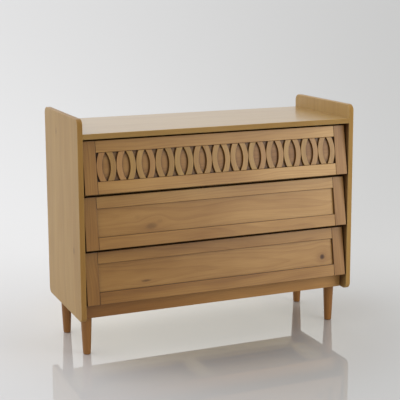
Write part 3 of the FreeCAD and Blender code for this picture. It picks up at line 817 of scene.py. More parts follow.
    def colour(self, tree: Tree, wood: Socket, figure: tuple[Socket, ...]) -> tuple[Socket, Socket]:
        """Mix the colour of the wood from its years, fibres and staves.

        Args:
            tree: The material's tree.
            wood: Coordinates in the tree.
            figure: Stripes of the years, spells of years, fibres, and the chances of each stave.

        Returns:
            The colour, and the tone that it is to take.
        """
        year, spell, fibre, chance = figure
        streak = add(tree, "MapRange", (fibre, *self.fibre_levels, 0.0, self.fibre_depth * self.figure))
        slow = add(tree, "MapRange", (spell, *self.spell_levels, 0.0, self.spell_depth * self.figure))
        grown = add(tree, "Math", (year, self.year_depth * self.figure, slow), operation="MULTIPLY_ADD")
        depth = add(tree, "Math", (grown, streak), operation="ADD")
        base = add(tree, "Mix", {0: depth, 6: linear(self.early), 7: linear(self.late)}, out=2,
                   data_type="RGBA")
        wide = add(tree, "Mapping", {"Vector": wood, "Scale": self.cloud_waves})
        cloud = add(tree, "TexNoise", {"Vector": wide, "Scale": 1.0, "Detail": 2.0, "Roughness": 0.5})
        shade = add(tree, "MapRange", (cloud, *self.cloud_levels, 1 - self.mottle, 1 + self.mottle))
        luck = add(tree, "SeparateXYZ", (chance,), out="Y")
        spread = self.stave_spread * self.figure
        own = add(tree, "MapRange", (luck, 0.0, 1.0, 1 - spread, 1 + spread))
        return base, add(tree, "Math", (shade, own), operation="MULTIPLY")

    def deepen(self, tree: Tree, base: Socket, value: Socket, board: Socket, lay: Lay) -> Socket:
        """Bring the colour to the tone of its board, with a painted rise of light along it and, where set,
        painted shade on its edges: a darker tone is a deeper and redder colour too.

        Args:
            tree: The material's tree.
            base: The colour of the wood.
            value: Its tone from place to place.
            board: Coordinates in the board.
            lay: How the grain lies, with the tone of the board.

        Returns:
            The deepened colour.
        """
        # The rise of the tone along the board is painted light
        along = add(tree, "SeparateXYZ", (board,), out="X")
        trend = add(tree, "Math", (along, lay.tone * lay.fade, lay.tone), operation="MULTIPLY_ADD")
        tone = add(tree, "Math", (value, trend), operation="MULTIPLY")
        # Edges turned away from the face get painted shade
        if self.edge_shade < 1:
            shade = add(tree, "MapRange", (lay.flatness(tree), *self.edge_levels, self.edge_shade, 1.0))
            tone = add(tree, "Math", (tone, shade), operation="MULTIPLY")
        steps = add(tree, "Math", (tone, math.e), operation="LOGARITHM")
        power = add(tree, "Math", (steps, -self.richness, 1.0), operation="MULTIPLY_ADD")
        deep = add(tree, "Gamma", {"Color": base, "Gamma": power})
        rest = add(tree, "Math", (tone, 1 - self.richness), operation="POWER")
        return add(tree, "HueSaturation", {"Color": deep, "Value": rest})

    def stain_knots(self, tree: Tree, colour: Socket, board: Socket, lay: Lay) -> Socket:
        """Darken each knot, with a brown rim of resin.

        Args:
            tree: The material's tree.
            colour: The colour of the wood.
            board: Coordinates in the board.
            lay: How the grain lies.

        Returns:
            The colour with its knots.
        """
        waves, raggedness = self.ragged
        for knot in lay.knots:
            reach = self.knot_distance(tree, board, knot)[1]
            rough = add(tree, "TexNoise", {"Vector": board, "Scale": waves / (knot.radius * MM)})
            edge = add(tree, "Math", (rough, raggedness, reach), operation="MULTIPLY_ADD")
            for levels, depth, stain in ((self.knot_rim, self.rim_depth * knot.dark, self.late),
                                         (self.knot_core, knot.dark, self.knot)):
                dark = add(tree, "MapRange", (edge, *levels, depth, 0.0), interpolation_type="SMOOTHSTEP")
                colour = add(tree, "Mix", {0: dark, 6: colour, 7: linear(stain)}, out=2, data_type="RGBA")
            if knot.ring:
                start, peak, end = self.knot_ring
                share = add(tree, "Math", (reach, 0.5), operation="MULTIPLY")
                ring = ramp(add(tree, "ValToRGB", (share,)),
                            ((0.0, 0.0), (start, 0.0), (peak, knot.ring), (end, 0.0), (1.0, 0.0)))
                colour = add(tree, "Mix", {0: ring, 6: colour, 7: linear(self.knot)}, out=2, data_type="RGBA")
        return colour

    def stain_and_shade_seam(self, tree: Tree, colour: Socket, board: Socket, seam: Span) -> Socket:
        """Darken the eased edges of a board, where it meets its neighbours: stain, and painted shade of the
        groove.

        Args:
            tree: The material's tree.
            colour: The colour of the wood.
            board: Coordinates in the board.
            seam: Half the length and half the width of the board in mm.

        Returns:
            The colour with its dark edges.
        """
        size = add(tree, "VectorMath", (board,), operation="ABSOLUTE")
        left = add(tree, "VectorMath", ((seam[0] * MM, seam[1] * MM, 1), size), operation="SUBTRACT")
        along = add(tree, "SeparateXYZ", (left,), out="X")
        across = add(tree, "SeparateXYZ", (left,), out="Y")
        near = add(tree, "Math", (along, across), operation="MINIMUM")
        full, lost = (width * MM for width in self.seam_width)
        dark = add(tree, "MapRange", (near, full, lost, self.seam_depth, 0.0))
        return add(tree, "Mix", {0: dark, 6: colour, 7: linear(self.knot)}, out=2, data_type="RGBA")

    def paint_corner_shade(self, tree: Tree, colour: Socket, board: Socket, corner: Corner) -> Socket:
        """Paint shade in the corners where a board meets pieces that stand on it, darkest where it is least
        open.

        Args:
            tree: The material's tree.
            colour: The colour of the wood.
            board: Coordinates in the board.
            corner: The painted shade.

        Returns:
            The colour with painted shade in its corners.
        """
        bare = add(tree, "AmbientOcclusion", {"Distance": corner.reach * MM}, out="AO",
                   samples=self.corner_rays)
        dark = add(tree, "MapRange", (bare, *self.corner_levels, corner.depth, 0.0))
        along = add(tree, "SeparateXYZ", (board,), out="X")
        within = add(tree, "Math", (along, corner.end * MM), operation="LESS_THAN")
        across = add(tree, "SeparateXYZ", (board,), out="Y")
        aside = add(tree, "Math", (across,), operation="ABSOLUTE")
        beyond = add(tree, "Math", (aside, corner.start * MM), operation="GREATER_THAN")
        place = add(tree, "Math", (within, beyond), operation="MULTIPLY")
        share = add(tree, "Math", (dark, place), operation="MULTIPLY")
        return add(tree, "Mix", {0: share, 6: colour, 7: linear(self.knot)}, out=2, data_type="RGBA")


@dataclass(frozen=True)
class SlatPine(Pine):
    """Pine of the slats: each was cut from another strip, and its sawn edges get painted shade."""

    # Turn of the hue from the reddest to the yellowest slat, where a half is none
    hues: Span = (0.499, 0.517)

    def stave_number(self, tree: Tree, board: Socket, lay: Lay) -> Socket:
        """Take each slat's own number in place of a stave's."""
        return add(tree, "Attribute", out="Fac", attribute_name=SLAT_NUMBER)

    def colour(self, tree: Tree, wood: Socket, figure: tuple[Socket, ...]) -> tuple[Socket, Socket]:
        """Mix the colour of the wood, a little redder or yellower from slat to slat.

        Args:
            tree: The material's tree.
            wood: Coordinates in the tree.
            figure: Stripes of the years, spells of years, fibres, and the chances of each slat.

        Returns:
            The colour, and the tone that it is to take.
        """
        base, value = super().colour(tree, wood, figure)
        luck = add(tree, "SeparateXYZ", (figure[-1],), out="Z")
        hue = add(tree, "MapRange", (luck, 0.0, 1.0, *self.hues))
        return add(tree, "HueSaturation", {"Color": base, "Hue": hue}), value


@dataclass(frozen=True)
class Plywood:
    """Birch plywood, sanded and left bare.

    The eye gets a pale face with faint, wavy figure, and thin dark glue lines in its edges.
    """

    name: str = "birch_plywood"
    light: str = "#d9be94"
    dark: str = "#c3a274"
    glue: str = "#7d5f3c"
    # Veneers of a thin sheet in mm, and the share of one that its glue line takes
    ply: float = 1.25
    glue_share: float = 0.12
    # Waves of the figure in a metre along, across and through the sheet, its relief in mm and its strength
    figure_waves: Point = (4.0, 60.0, 60.0)
    relief: float = 0.2
    relief_strength: float = 0.2
    rough_span: Span = (0.55, 0.7)
    ior: float = 1.5

    def dress(self, piece: Piece, lay: Lay) -> None:
        """Give a piece this sheet.

        Args:
            piece: The piece.
            lay: How its face veneer lies.
        """
        material, tree = new_material(f"{self.name}_{piece.name}")
        board = lay.coordinates(tree)
        long = add(tree, "Mapping", {"Vector": board, "Location": (lay.seed, 0, 0),
                                     "Scale": self.figure_waves})
        figure = add(tree, "TexNoise", {"Vector": long, "Scale": 1.0, "Detail": 4.0, "Distortion": 0.6})
        base = add(tree, "Mix", {0: figure, 6: linear(self.light), 7: linear(self.dark)}, out=2,
                   data_type="RGBA")
        through = add(tree, "SeparateXYZ", (board,), out="Z")
        veneers = add(tree, "Math", (through, 1 / (self.ply * MM)), operation="MULTIPLY")
        depth = add(tree, "Math", (veneers,), operation="FRACT")
        line = ramp(add(tree, "ValToRGB", (depth,)),
                    ((0.0, 1.0), (self.glue_share, 0.0), (1 - self.glue_share, 0.0), (1.0, 1.0)))
        edge = add(tree, "Math", (lay.flatness(tree), 0.5), operation="LESS_THAN")
        glued = add(tree, "Math", (line, edge), operation="MULTIPLY")
        colour = add(tree, "Mix", {0: glued, 6: base, 7: linear(self.glue)}, out=2, data_type="RGBA")
        bump = add(tree, "Bump", {"Height": figure, "Strength": self.relief_strength,
                                  "Distance": self.relief * MM})
        rough = add(tree, "MapRange", (figure, 0.0, 1.0, *self.rough_span))
        shader = add(tree, "BsdfPrincipled", {"Base Color": colour, "Roughness": rough, "IOR": self.ior,
                                              "Normal": bump})
        wear(piece, material, shader)


@dataclass(frozen=True)
class Beech:
    """Planed beech, waxed: an even pinkish brown with the short dark flecks of its rays."""

    name: str = "waxed_beech"
    light: str = "#c99a6b"
    dark: str = "#a9764a"
    # Rays are flecks 1 to 3 mm long; this long in mm, with their width and their stretch as shares
    fleck: float = 2.2
    fleck_width_share: float = 0.35
    stretch_share: float = 0.8
    fleck_levels: Span = (0.5, 0.72)
    # Clouds of tone are so many times as large as flecks, and this deep
    cloud_size: float = 14.0
    cloud_depth: float = 0.6
    # Relief of the flecks in mm, and its strength
    relief: float = 0.1
    relief_strength: float = 0.15
    rough_span: Span = (0.4, 0.55)
    ior: float = 1.5

    def dress(self, piece: Piece, along: Point) -> None:
        """Give a piece this wood.

        Args:
            piece: The piece.
            along: The way that its grain runs.
        """
        material, tree = new_material(f"{self.name}_{piece.name}")
        coords = add(tree, "TexCoord", out="Object")
        across = 1 / (self.fleck * self.fleck_width_share * MM)
        stretch = [across * (1 - self.stretch_share * abs(share)) for share in along]
        long = add(tree, "Mapping", {"Vector": coords, "Scale": stretch})
        flecks = add(tree, "TexNoise", {"Vector": long, "Scale": 1.0, "Detail": 1.0})
        sharp = add(tree, "MapRange", (flecks, *self.fleck_levels))
        slow = add(tree, "Mapping", {"Vector": coords, "Scale": [fine / self.cloud_size for fine in stretch]})
        cloud = add(tree, "TexNoise", {"Vector": slow, "Scale": 1.0, "Detail": 3.0})
        depth = add(tree, "Math", (cloud, self.cloud_depth, sharp), operation="MULTIPLY_ADD")
        colour = add(tree, "Mix", {0: depth, 6: linear(self.light), 7: linear(self.dark)}, out=2,
                     data_type="RGBA")
        rough = add(tree, "MapRange", (cloud, 0.0, 1.0, *self.rough_span))
        bump = add(tree, "Bump", {"Height": flecks, "Strength": self.relief_strength,
                                  "Distance": self.relief * MM})
        shader = add(tree, "BsdfPrincipled", {"Base Color": colour, "Roughness": rough, "IOR": self.ior,
                                              "Normal": bump})
        wear(piece, material, shader)


@dataclass(frozen=True)
class Metal:
    """A plated or cast metal: a cool grey with cloudy tarnish and the fine marks that its making left."""

    name: str
    light: str
    dark: str
    roughness: float
    # Size in mm of the grain of the plating or of the cast skin, and its size beside a cloud of tarnish
    grain: float
    cloud_share: float = 0.12
    grain_depth: float = 0.4
    # Relief of the grain in mm, and its strength
    relief: float = 0.05
    relief_strength: float = 0.12
    # Roughness in bright and in tarnished places, beside the metal's own
    rough_span: Span = (-0.08, 0.1)

    def dress(self, piece: Piece) -> None:
        """Give a piece this metal.

        Args:
            piece: The piece.
        """
        material, tree = new_material(f"{self.name}_{piece.name}")
        coords = add(tree, "TexCoord", out="Object")
        fine = 1 / (self.grain * MM)
        skin = add(tree, "TexNoise", {"Vector": coords, "Scale": fine, "Detail": 3.0})
        cloud = add(tree, "TexNoise", {"Vector": coords, "Scale": self.cloud_share * fine, "Detail": 2.0})
        depth = add(tree, "Math", (skin, self.grain_depth, cloud), operation="MULTIPLY_ADD")
        colour = add(tree, "Mix", {0: depth, 6: linear(self.light), 7: linear(self.dark)}, out=2,
                     data_type="RGBA")
        bright, dull = (self.roughness + more for more in self.rough_span)
        rough = add(tree, "MapRange", (cloud, 0.0, 1.0, bright, dull))
        bump = add(tree, "Bump", {"Height": skin, "Strength": self.relief_strength,
                                  "Distance": self.relief * MM})
        shader = add(tree, "BsdfPrincipled", {"Base Color": colour, "Metallic": 1.0, "Roughness": rough,
                                              "Normal": bump})
        wear(piece, material, shader)


# Honey-stained pine of the outside, warm and satin; the lacquer throws back pale light at a low angle
# The case and the top have darker edges as painted shade
CASE_PINE = Pine("lacquered_pine_case", "#a8854c", "#8a6732", "#4d2f17", 0.42, shine=0.32, figure=0.7,
                 mottle=0.06, edge_shade=0.84, richness=1.0)
TOP_PINE = Pine("polished_pine_top", "#a8874e", "#8a6934", "#4d2f17", 0.32, 0.42, figure=0.4, mottle=0.05,
                edge_shade=0.84, richness=1.0)
BASE_PINE = Pine("lacquered_pine_base", "#a3753e", "#835829", "#43270f", 0.42, shine=0.4, figure=0.8,
                 mottle=0.1)
FRONT_PINE = Pine("lacquered_pine_front", "#b0874b", "#865b2b", "#43270f", 0.4, shine=0.42, mottle=0.17)
# The slats' sawn edges are much darker as painted shade
LATTICE_PINE = SlatPine("lacquered_pine_lattice", "#ad8149", "#8f6431", "#43270f", 0.4, figure=1.4,
                        mottle=0.1, edge_shade=0.45, jump=(9.0, 0.4, 0.04))
# Bare pine of the drawer boxes and of the inside, paler and dull, and palest under the bottom, partly as
# painted light on the shaded underside
BOX_PINE = Pine("bare_pine", "#d2ae78", "#ad7f46", "#5d3a1e", 0.58, mottle=0.1)
BOTTOM_PINE = Pine("bare_pine_bottom", "#e4d09f", "#cfb47e", "#7a5a36", 0.6, figure=0.7, mottle=0.06)
PLYWOOD = Plywood()
BEECH = Beech()
# Blue-bright zinc plating on steel screws and bolts
PLATED_STEEL = Metal("zinc_plated_steel", "#c3c6c8", "#8f9598", 0.34, 0.35)
# Die-cast zinc, duller, with a fine cast skin
CAST_ZINC = Metal("die_cast_zinc", "#a9aaab", "#7f8183", 0.5, 0.25)


@dataclass
class Case:
    """The case: side panels, top, plinth, bottom, back, dividers, stops and runners."""

    width: float = 1000.0
    depth: float = 400.0
    height: float = 800.0
    underside: float = 135.0
    board: float = 18.0
    corner: Round = Round(22.0, 10)
    edge: Round = Round(3.0, 4)
    side_stave: float = 92.0
    # The right side is a lighter tone, partly its own and partly painted light
    side_tones: Span = (1.0, 1.1)
    side_seed: float = 3.4
    left_knots: tuple[Knot, ...] = (Knot(265, 54, 6, 2.2, 0.5), Knot(-106, -129, 6, 2.4, 0.6))
    # Painted shade beside the drawer fronts, on the inner face of a side: how far it reaches, and where it
    # starts from the middle of the side
    shade_reach: float = 90.0
    shade_start: float = 130.0
    top_level: float = 752.0
    top_setback: float = 2.0
    top_round: Round = Round(2.0, 4)
    top_stave: float = 84.0
    top_seed: float = 11.3
    floor_level: float = 180.0
    plinth_setback: float = 45.0
    plinth_round: Round = Round(1.5, 4)
    # The plinth's raised tone and its rise toward the right are painted light
    plinth_tone: float = 1.06
    plinth_fade: float = 0.5
    plinth_seed: float = 17.9
    back_face: float = 185.0
    back_board: float = 5.0
    back_groove: float = 6.0
    back_headroom: float = 0.5
    back_seed: float = 41.0
    divider_front: float = -138.0
    divider_rear: float = -54.5
    divider_levels: Span = (357.583, 540.417)
    divider_seeds: Span = (33.27583, 35.10417)
    stop_width: float = 44.0
    stop_board: float = 12.0
    stop_rear: float = -65.5
    stop_lap: float = 8.0
    runner_reach: float = 12.0
    runner_height: float = 18.0
    runner_front: float = -128.0
    runner_rear: float = 179.0
    runner_round: Round = Round(1.2, 3)
    runner_screw_shares: Point = (0.08, 0.5, 0.92)
    # Countersink of a runner's screw: radius of its mouth, depth, and radius of its tip
    runner_sink: Point = (4.1, 2.7, 2.1)
    cam_inset: float = 34.0
    cam_radius: float = 7.5
    cam_depth: float = 12.5
    cam_headroom: float = 0.5
    # Level of the face and two places along the depth, of the cam locks in the top and in the bottom
    top_cams: Point = (734.0, -78.6, 80.6)
    bottom_cams: Point = (162.0, -13.6, 61.6)
    long_rail: float = 67.0
    end_rail: float = 55.0
    middle_rail: float = 50.0
    long_rail_seed: float = 23.1
    cross_rail_seed: float = 24.7

    @property
    def inner(self) -> float:
        """Half of the clear width between the side panels."""
        return self.width / 2 - self.board

    @property
    def runner_screw_places(self) -> list[float]:
        """The places of a runner's screws along the depth."""
        return [self.runner_front + share * (self.runner_rear - self.runner_front)
                for share in self.runner_screw_shares]

    def build(self) -> None:
        """Make and dress every piece of the case."""
        for (side, sign), tone in zip(SIDES, self.side_tones):
            self.side_panel(side, sign, tone)
        self.top_panel()
        self.plinth_rail()
        self.bottom_frame()
        self.dividers()
        self.stops()
        self.dress_sheet()
        for side, sign in SIDES:
            self.runners(side, sign)

    def side_panel(self, side: str, sign: int, tone: float) -> None:
        """Make a side panel: rounded corners, rounded edges, and the groove for the back.

        Args:
            side: Left or right.
            sign: -1 for left, 1 for right.
            tone: Tone of its wood.
        """
        outer, inner = sign * self.width / 2, sign * self.inner
        blank = Blank(f"side_board_{side}", (min(outer, inner), -self.depth / 2, self.underside),
                      (max(outer, inner), self.depth / 2, self.height))
        blank.ease(self.corner, lambda a, b: abs(a.x - b.x) > self.board / 2)
        blank.ease(self.edge, lambda a, b: abs(a.x - b.x) < TOUCH)
        walls = sorted((inner - sign * OVERRUN, inner + sign * self.back_groove))
        top = self.top_level - self.board
        blank.groove((walls[0], self.back_face - PLAY, self.underside - OVERRUN),
                     (walls[1], self.back_face + self.back_board + PLAY, top + self.back_groove))
        below_top = top - (self.underside + self.height) / 2
        # The inner face gets painted shade beside the drawer fronts
        lay = blank.lay(UP, (sign, 0, 0), Sawn.RIFT, self.side_seed + sign, stave=self.side_stave, tone=tone,
                        knots=self.left_knots if sign < 0 else (),
                        corner=Corner(self.shade_reach, 1.0, below_top, self.shade_start))
        piece = blank.finish()
        CASE_PINE.dress(piece, lay)
        settle(piece, Body.CASE, f"side_panel_{side}")

    def top_panel(self) -> None:
        """Make the top: two rounded front edges, a groove for the back and the wells of four cam locks."""
        low = (-self.inner, self.top_setback - self.depth / 2, self.top_level - self.board)
        high = (self.inner, self.depth / 2, self.top_level)
        blank = Blank("top_board", low, high)
        front = low[1] + TOUCH
        blank.ease(self.top_round, lambda a, b: max(a.y, b.y) < front and abs(a.z - b.z) < TOUCH)
        blank.ease(BROKEN, lambda a, b: min(a.y, b.y) > high[1] - TOUCH)
        blank.groove((-self.inner - OVERRUN, self.back_face - PLAY, low[2] - OVERRUN),
                     (self.inner + OVERRUN, self.back_face + self.back_board + PLAY,
                      low[2] + self.back_groove + self.back_headroom))
        self.bore_wells(blank, self.top_cams, (-1, 1))
        lay = blank.lay(RIGHT, UP, Sawn.RIFT, self.top_seed, stave=self.top_stave)
        piece = blank.finish()
        TOP_PINE.dress(piece, lay)
        settle(piece, Body.CASE, "top_panel")

    def bore_wells(self, blank: Blank, row: Point, signs: Iterable[int]) -> None:
        """Drill the wells of a row of cam locks upwards into a board.

        Args:
            blank: The board.
            row: Level of its lower face, and the places of the wells along the depth.
            signs: The ends that the board has: -1 for left, 1 for right.
        """
        level, *places = row
        for y in places:
            for sign in signs:
                blank.bore((sign * (self.inner - self.cam_inset), y, level), UP, self.cam_radius + PLAY,
                           self.cam_depth + self.cam_headroom)

    def plinth_rail(self) -> None:
        """Make the plinth rail under the lowest drawer."""
        front = self.plinth_setback - self.depth / 2
        rear = front + self.board
        blank = Blank("plinth_board", (-self.inner, front, self.underside),
                      (self.inner, rear, self.floor_level))
        blank.ease(self.plinth_round,
                   lambda a, b: max(a.y, b.y) < front + TOUCH and abs(a.z - b.z) < TOUCH)
        blank.ease(BROKEN, lambda a, b: min(a.y, b.y) > rear - TOUCH and abs(a.z - b.z) < TOUCH)
        lay = blank.lay(RIGHT, FRONT, Sawn.RIFT, self.plinth_seed, tone=self.plinth_tone,
                        fade=self.plinth_fade)
        piece = blank.finish()
        BASE_PINE.dress(piece, lay)
        settle(piece, Body.CASE, "plinth_rail")

    def bottom_frame(self) -> None:
        """Make the bottom frame: two long rails, with two end rails and a middle rail between them."""
        front = self.plinth_setback + self.board - self.depth / 2
        near, far = front + self.long_rail, self.back_face - self.long_rail
        low, high = self.floor_level - self.board, self.floor_level
        blank = Blank("bottom_long_board", (-self.inner, front, low), (self.inner, near, high))
        blank.ease(SANDED, lambda a, b: abs(a.x - b.x) > self.inner)
        lay = blank.lay(RIGHT, DOWN, Sawn.RIFT, self.long_rail_seed)
        pattern = blank.finish()
        piece = join([pattern, copy_at(pattern, (0, far - front, 0))], "bottom_long_boards")
        BOTTOM_PINE.dress(piece, lay)
        settle(piece, Body.CASE, "bottom_long_rails")
        blank = Blank("bottom_end_board", (self.inner - self.end_rail, near, low), (self.inner, far, high))
        blank.ease(SANDED, lambda a, b: abs(a.y - b.y) > self.end_rail)
        self.bore_wells(blank, self.bottom_cams, (1,))
        end = blank.finish()
        turned = copy_at(end, (0, near + far, 0), Quaternion(UP, math.pi))
        half = self.middle_rail / 2
        blank = Blank("bottom_middle_board", (-half, near, low), (half, far, high))
        blank.ease(SANDED, lambda a, b: abs(a.y - b.y) > self.end_rail)
        lay = blank.lay(REAR, DOWN, Sawn.RIFT, self.cross_rail_seed)
        piece = join([blank.finish(), end, turned], "bottom_cross_boards")
        BOTTOM_PINE.dress(piece, lay)
        settle(piece, Body.CASE, "bottom_cross_rails")

    def dividers(self) -> None:
        """Make the two cross rails between the drawers."""
        for name, level, seed in zip(("lower", "upper"), self.divider_levels, self.divider_seeds):
            blank = Blank(f"cross_rail_{name}", (-self.inner, self.divider_front, level),
                          (self.inner, self.divider_rear, level + self.board))
            blank.ease(HANDLED, lambda a, b: abs(a.x - b.x) > self.inner)
            lay = blank.lay(RIGHT, FRONT, Sawn.CROWN, seed)
            piece = blank.finish()
            BOX_PINE.dress(piece, lay)
            settle(piece, Body.CASE, f"divider_{name}")

    def stops(self) -> None:
        """Make the three stop blocks that catch an open drawer."""
        blocks = []
        half = self.stop_width / 2
        lows = [drawer.level + drawer.box_high - self.stop_lap for drawer in DRAWERS]
        highs = [*self.divider_levels, self.top_level - self.board]
        for number, (low, high) in enumerate(zip(lows, highs)):
            blank = Blank(f"stop_{number}", (-half, self.stop_rear - self.stop_board, low),
                          (half, self.stop_rear, high))
            blank.ease(HANDLED, lambda a, b: min(a.z, b.z) < low + TOUCH or abs(a.z - b.z) > TOUCH)
            blocks.append(blank.finish())
        piece = join(blocks, "stop_blocks")
        BEECH.dress(piece, RIGHT)
        settle(piece, Body.CASE, "drawer_stops")

    def dress_sheet(self) -> None:
        """Dress the plywood back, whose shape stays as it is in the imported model."""
        middle = Vector((0, self.back_face + self.back_board / 2, (self.underside + self.top_level) / 2))
        PLYWOOD.dress(frame["nodes"]["back_panel"],
                      Lay(middle, Vector(UP), Vector(REAR), Sawn.CROWN, self.back_seed))
        LOG.info("back_panel keeps its shape")

    def runners(self, side: str, sign: int) -> None:
        """Make the runners of one side: one pattern, copied to every drawer's height.

        Args:
            side: Left or right.
            sign: -1 for left, 1 for right.
        """
        face = sign * (self.inner - self.runner_reach)
        ends = sorted((sign * self.inner, face))
        blank = Blank(f"runner_{side}", (ends[0], self.runner_front, 0),
                      (ends[1], self.runner_rear, self.runner_height))
        blank.ease(self.runner_round, lambda a, b: abs(a.x - face) < TOUCH and abs(b.x - face) < TOUCH)
        for y in self.runner_screw_places:
            blank.bore((face, y, self.runner_height / 2), (sign, 0, 0), *self.runner_sink)
        pattern = blank.finish()
        for drawer in DRAWERS:
            name = drawer.name.removeprefix("drawer_")
            at = (0, 0, drawer.level + drawer.runner_low)
            piece = join([copy_at(pattern, at)], f"runner_bar_{name}_{side}")
            BEECH.dress(piece, REAR)
            settle(piece, Body.CASE, f"runner_{name}_{side}")
        bpy.data.objects.remove(pattern)


@dataclass
class Legs:
    """Four turned legs that taper to the floor."""

    top_radius: float = 20.0
    foot_radius: float = 13.0
    height: float = 162.0
    foot_round: Round = Round(4.0, 7)
    x: float = 459.6
    rows: tuple[tuple[str, float], ...] = (("front", -113.0), ("rear", 129.0))
    sides: int = 64
    tone: float = 0.77
    seed: float = 51.3
    seed_aside: float = 3.7

    def build(self) -> None:
        """Turn one leg, and copy it to the four corners."""
        pattern = self.turn_leg()
        for number, (row, y) in enumerate(self.rows):
            for side, sign in SIDES:
                piece = join([copy_at(pattern, (sign * self.x, y, 0))], f"turned_leg_{row}_{side}")
                middle = Vector((sign * self.x, y, self.height / 2))
                seed = self.seed + number + self.seed_aside * sign
                lay = Lay(middle, Vector(UP), Vector(FRONT), Sawn.RIFT, seed, tone=self.tone)
                BASE_PINE.dress(piece, lay)
                settle(piece, Body.CASE, f"leg_{row}_{side}")
        bpy.data.objects.remove(pattern)

    def turn_leg(self) -> Piece:
        """Turn a leg from its foot upwards.

        Returns:
            The leg, standing on the floor at the origin.
        """
        slope = (self.top_radius - self.foot_radius) / self.height
        curve, facets = self.foot_round.radius, self.foot_round.facets
        outline = [(self.foot_radius - curve, 0.0)]
        for facet in range(1, facets + 1):
            angle = math.radians(90 * facet / facets)
            rise = curve * (1 - math.cos(angle))
            outline.append((self.foot_radius - curve * (1 - math.sin(angle)) + slope * rise, rise))
        outline.append((self.top_radius, self.height))
        leg = turn_solid("leg_pattern", self.sides, outline)
        sand(leg)
        return leg


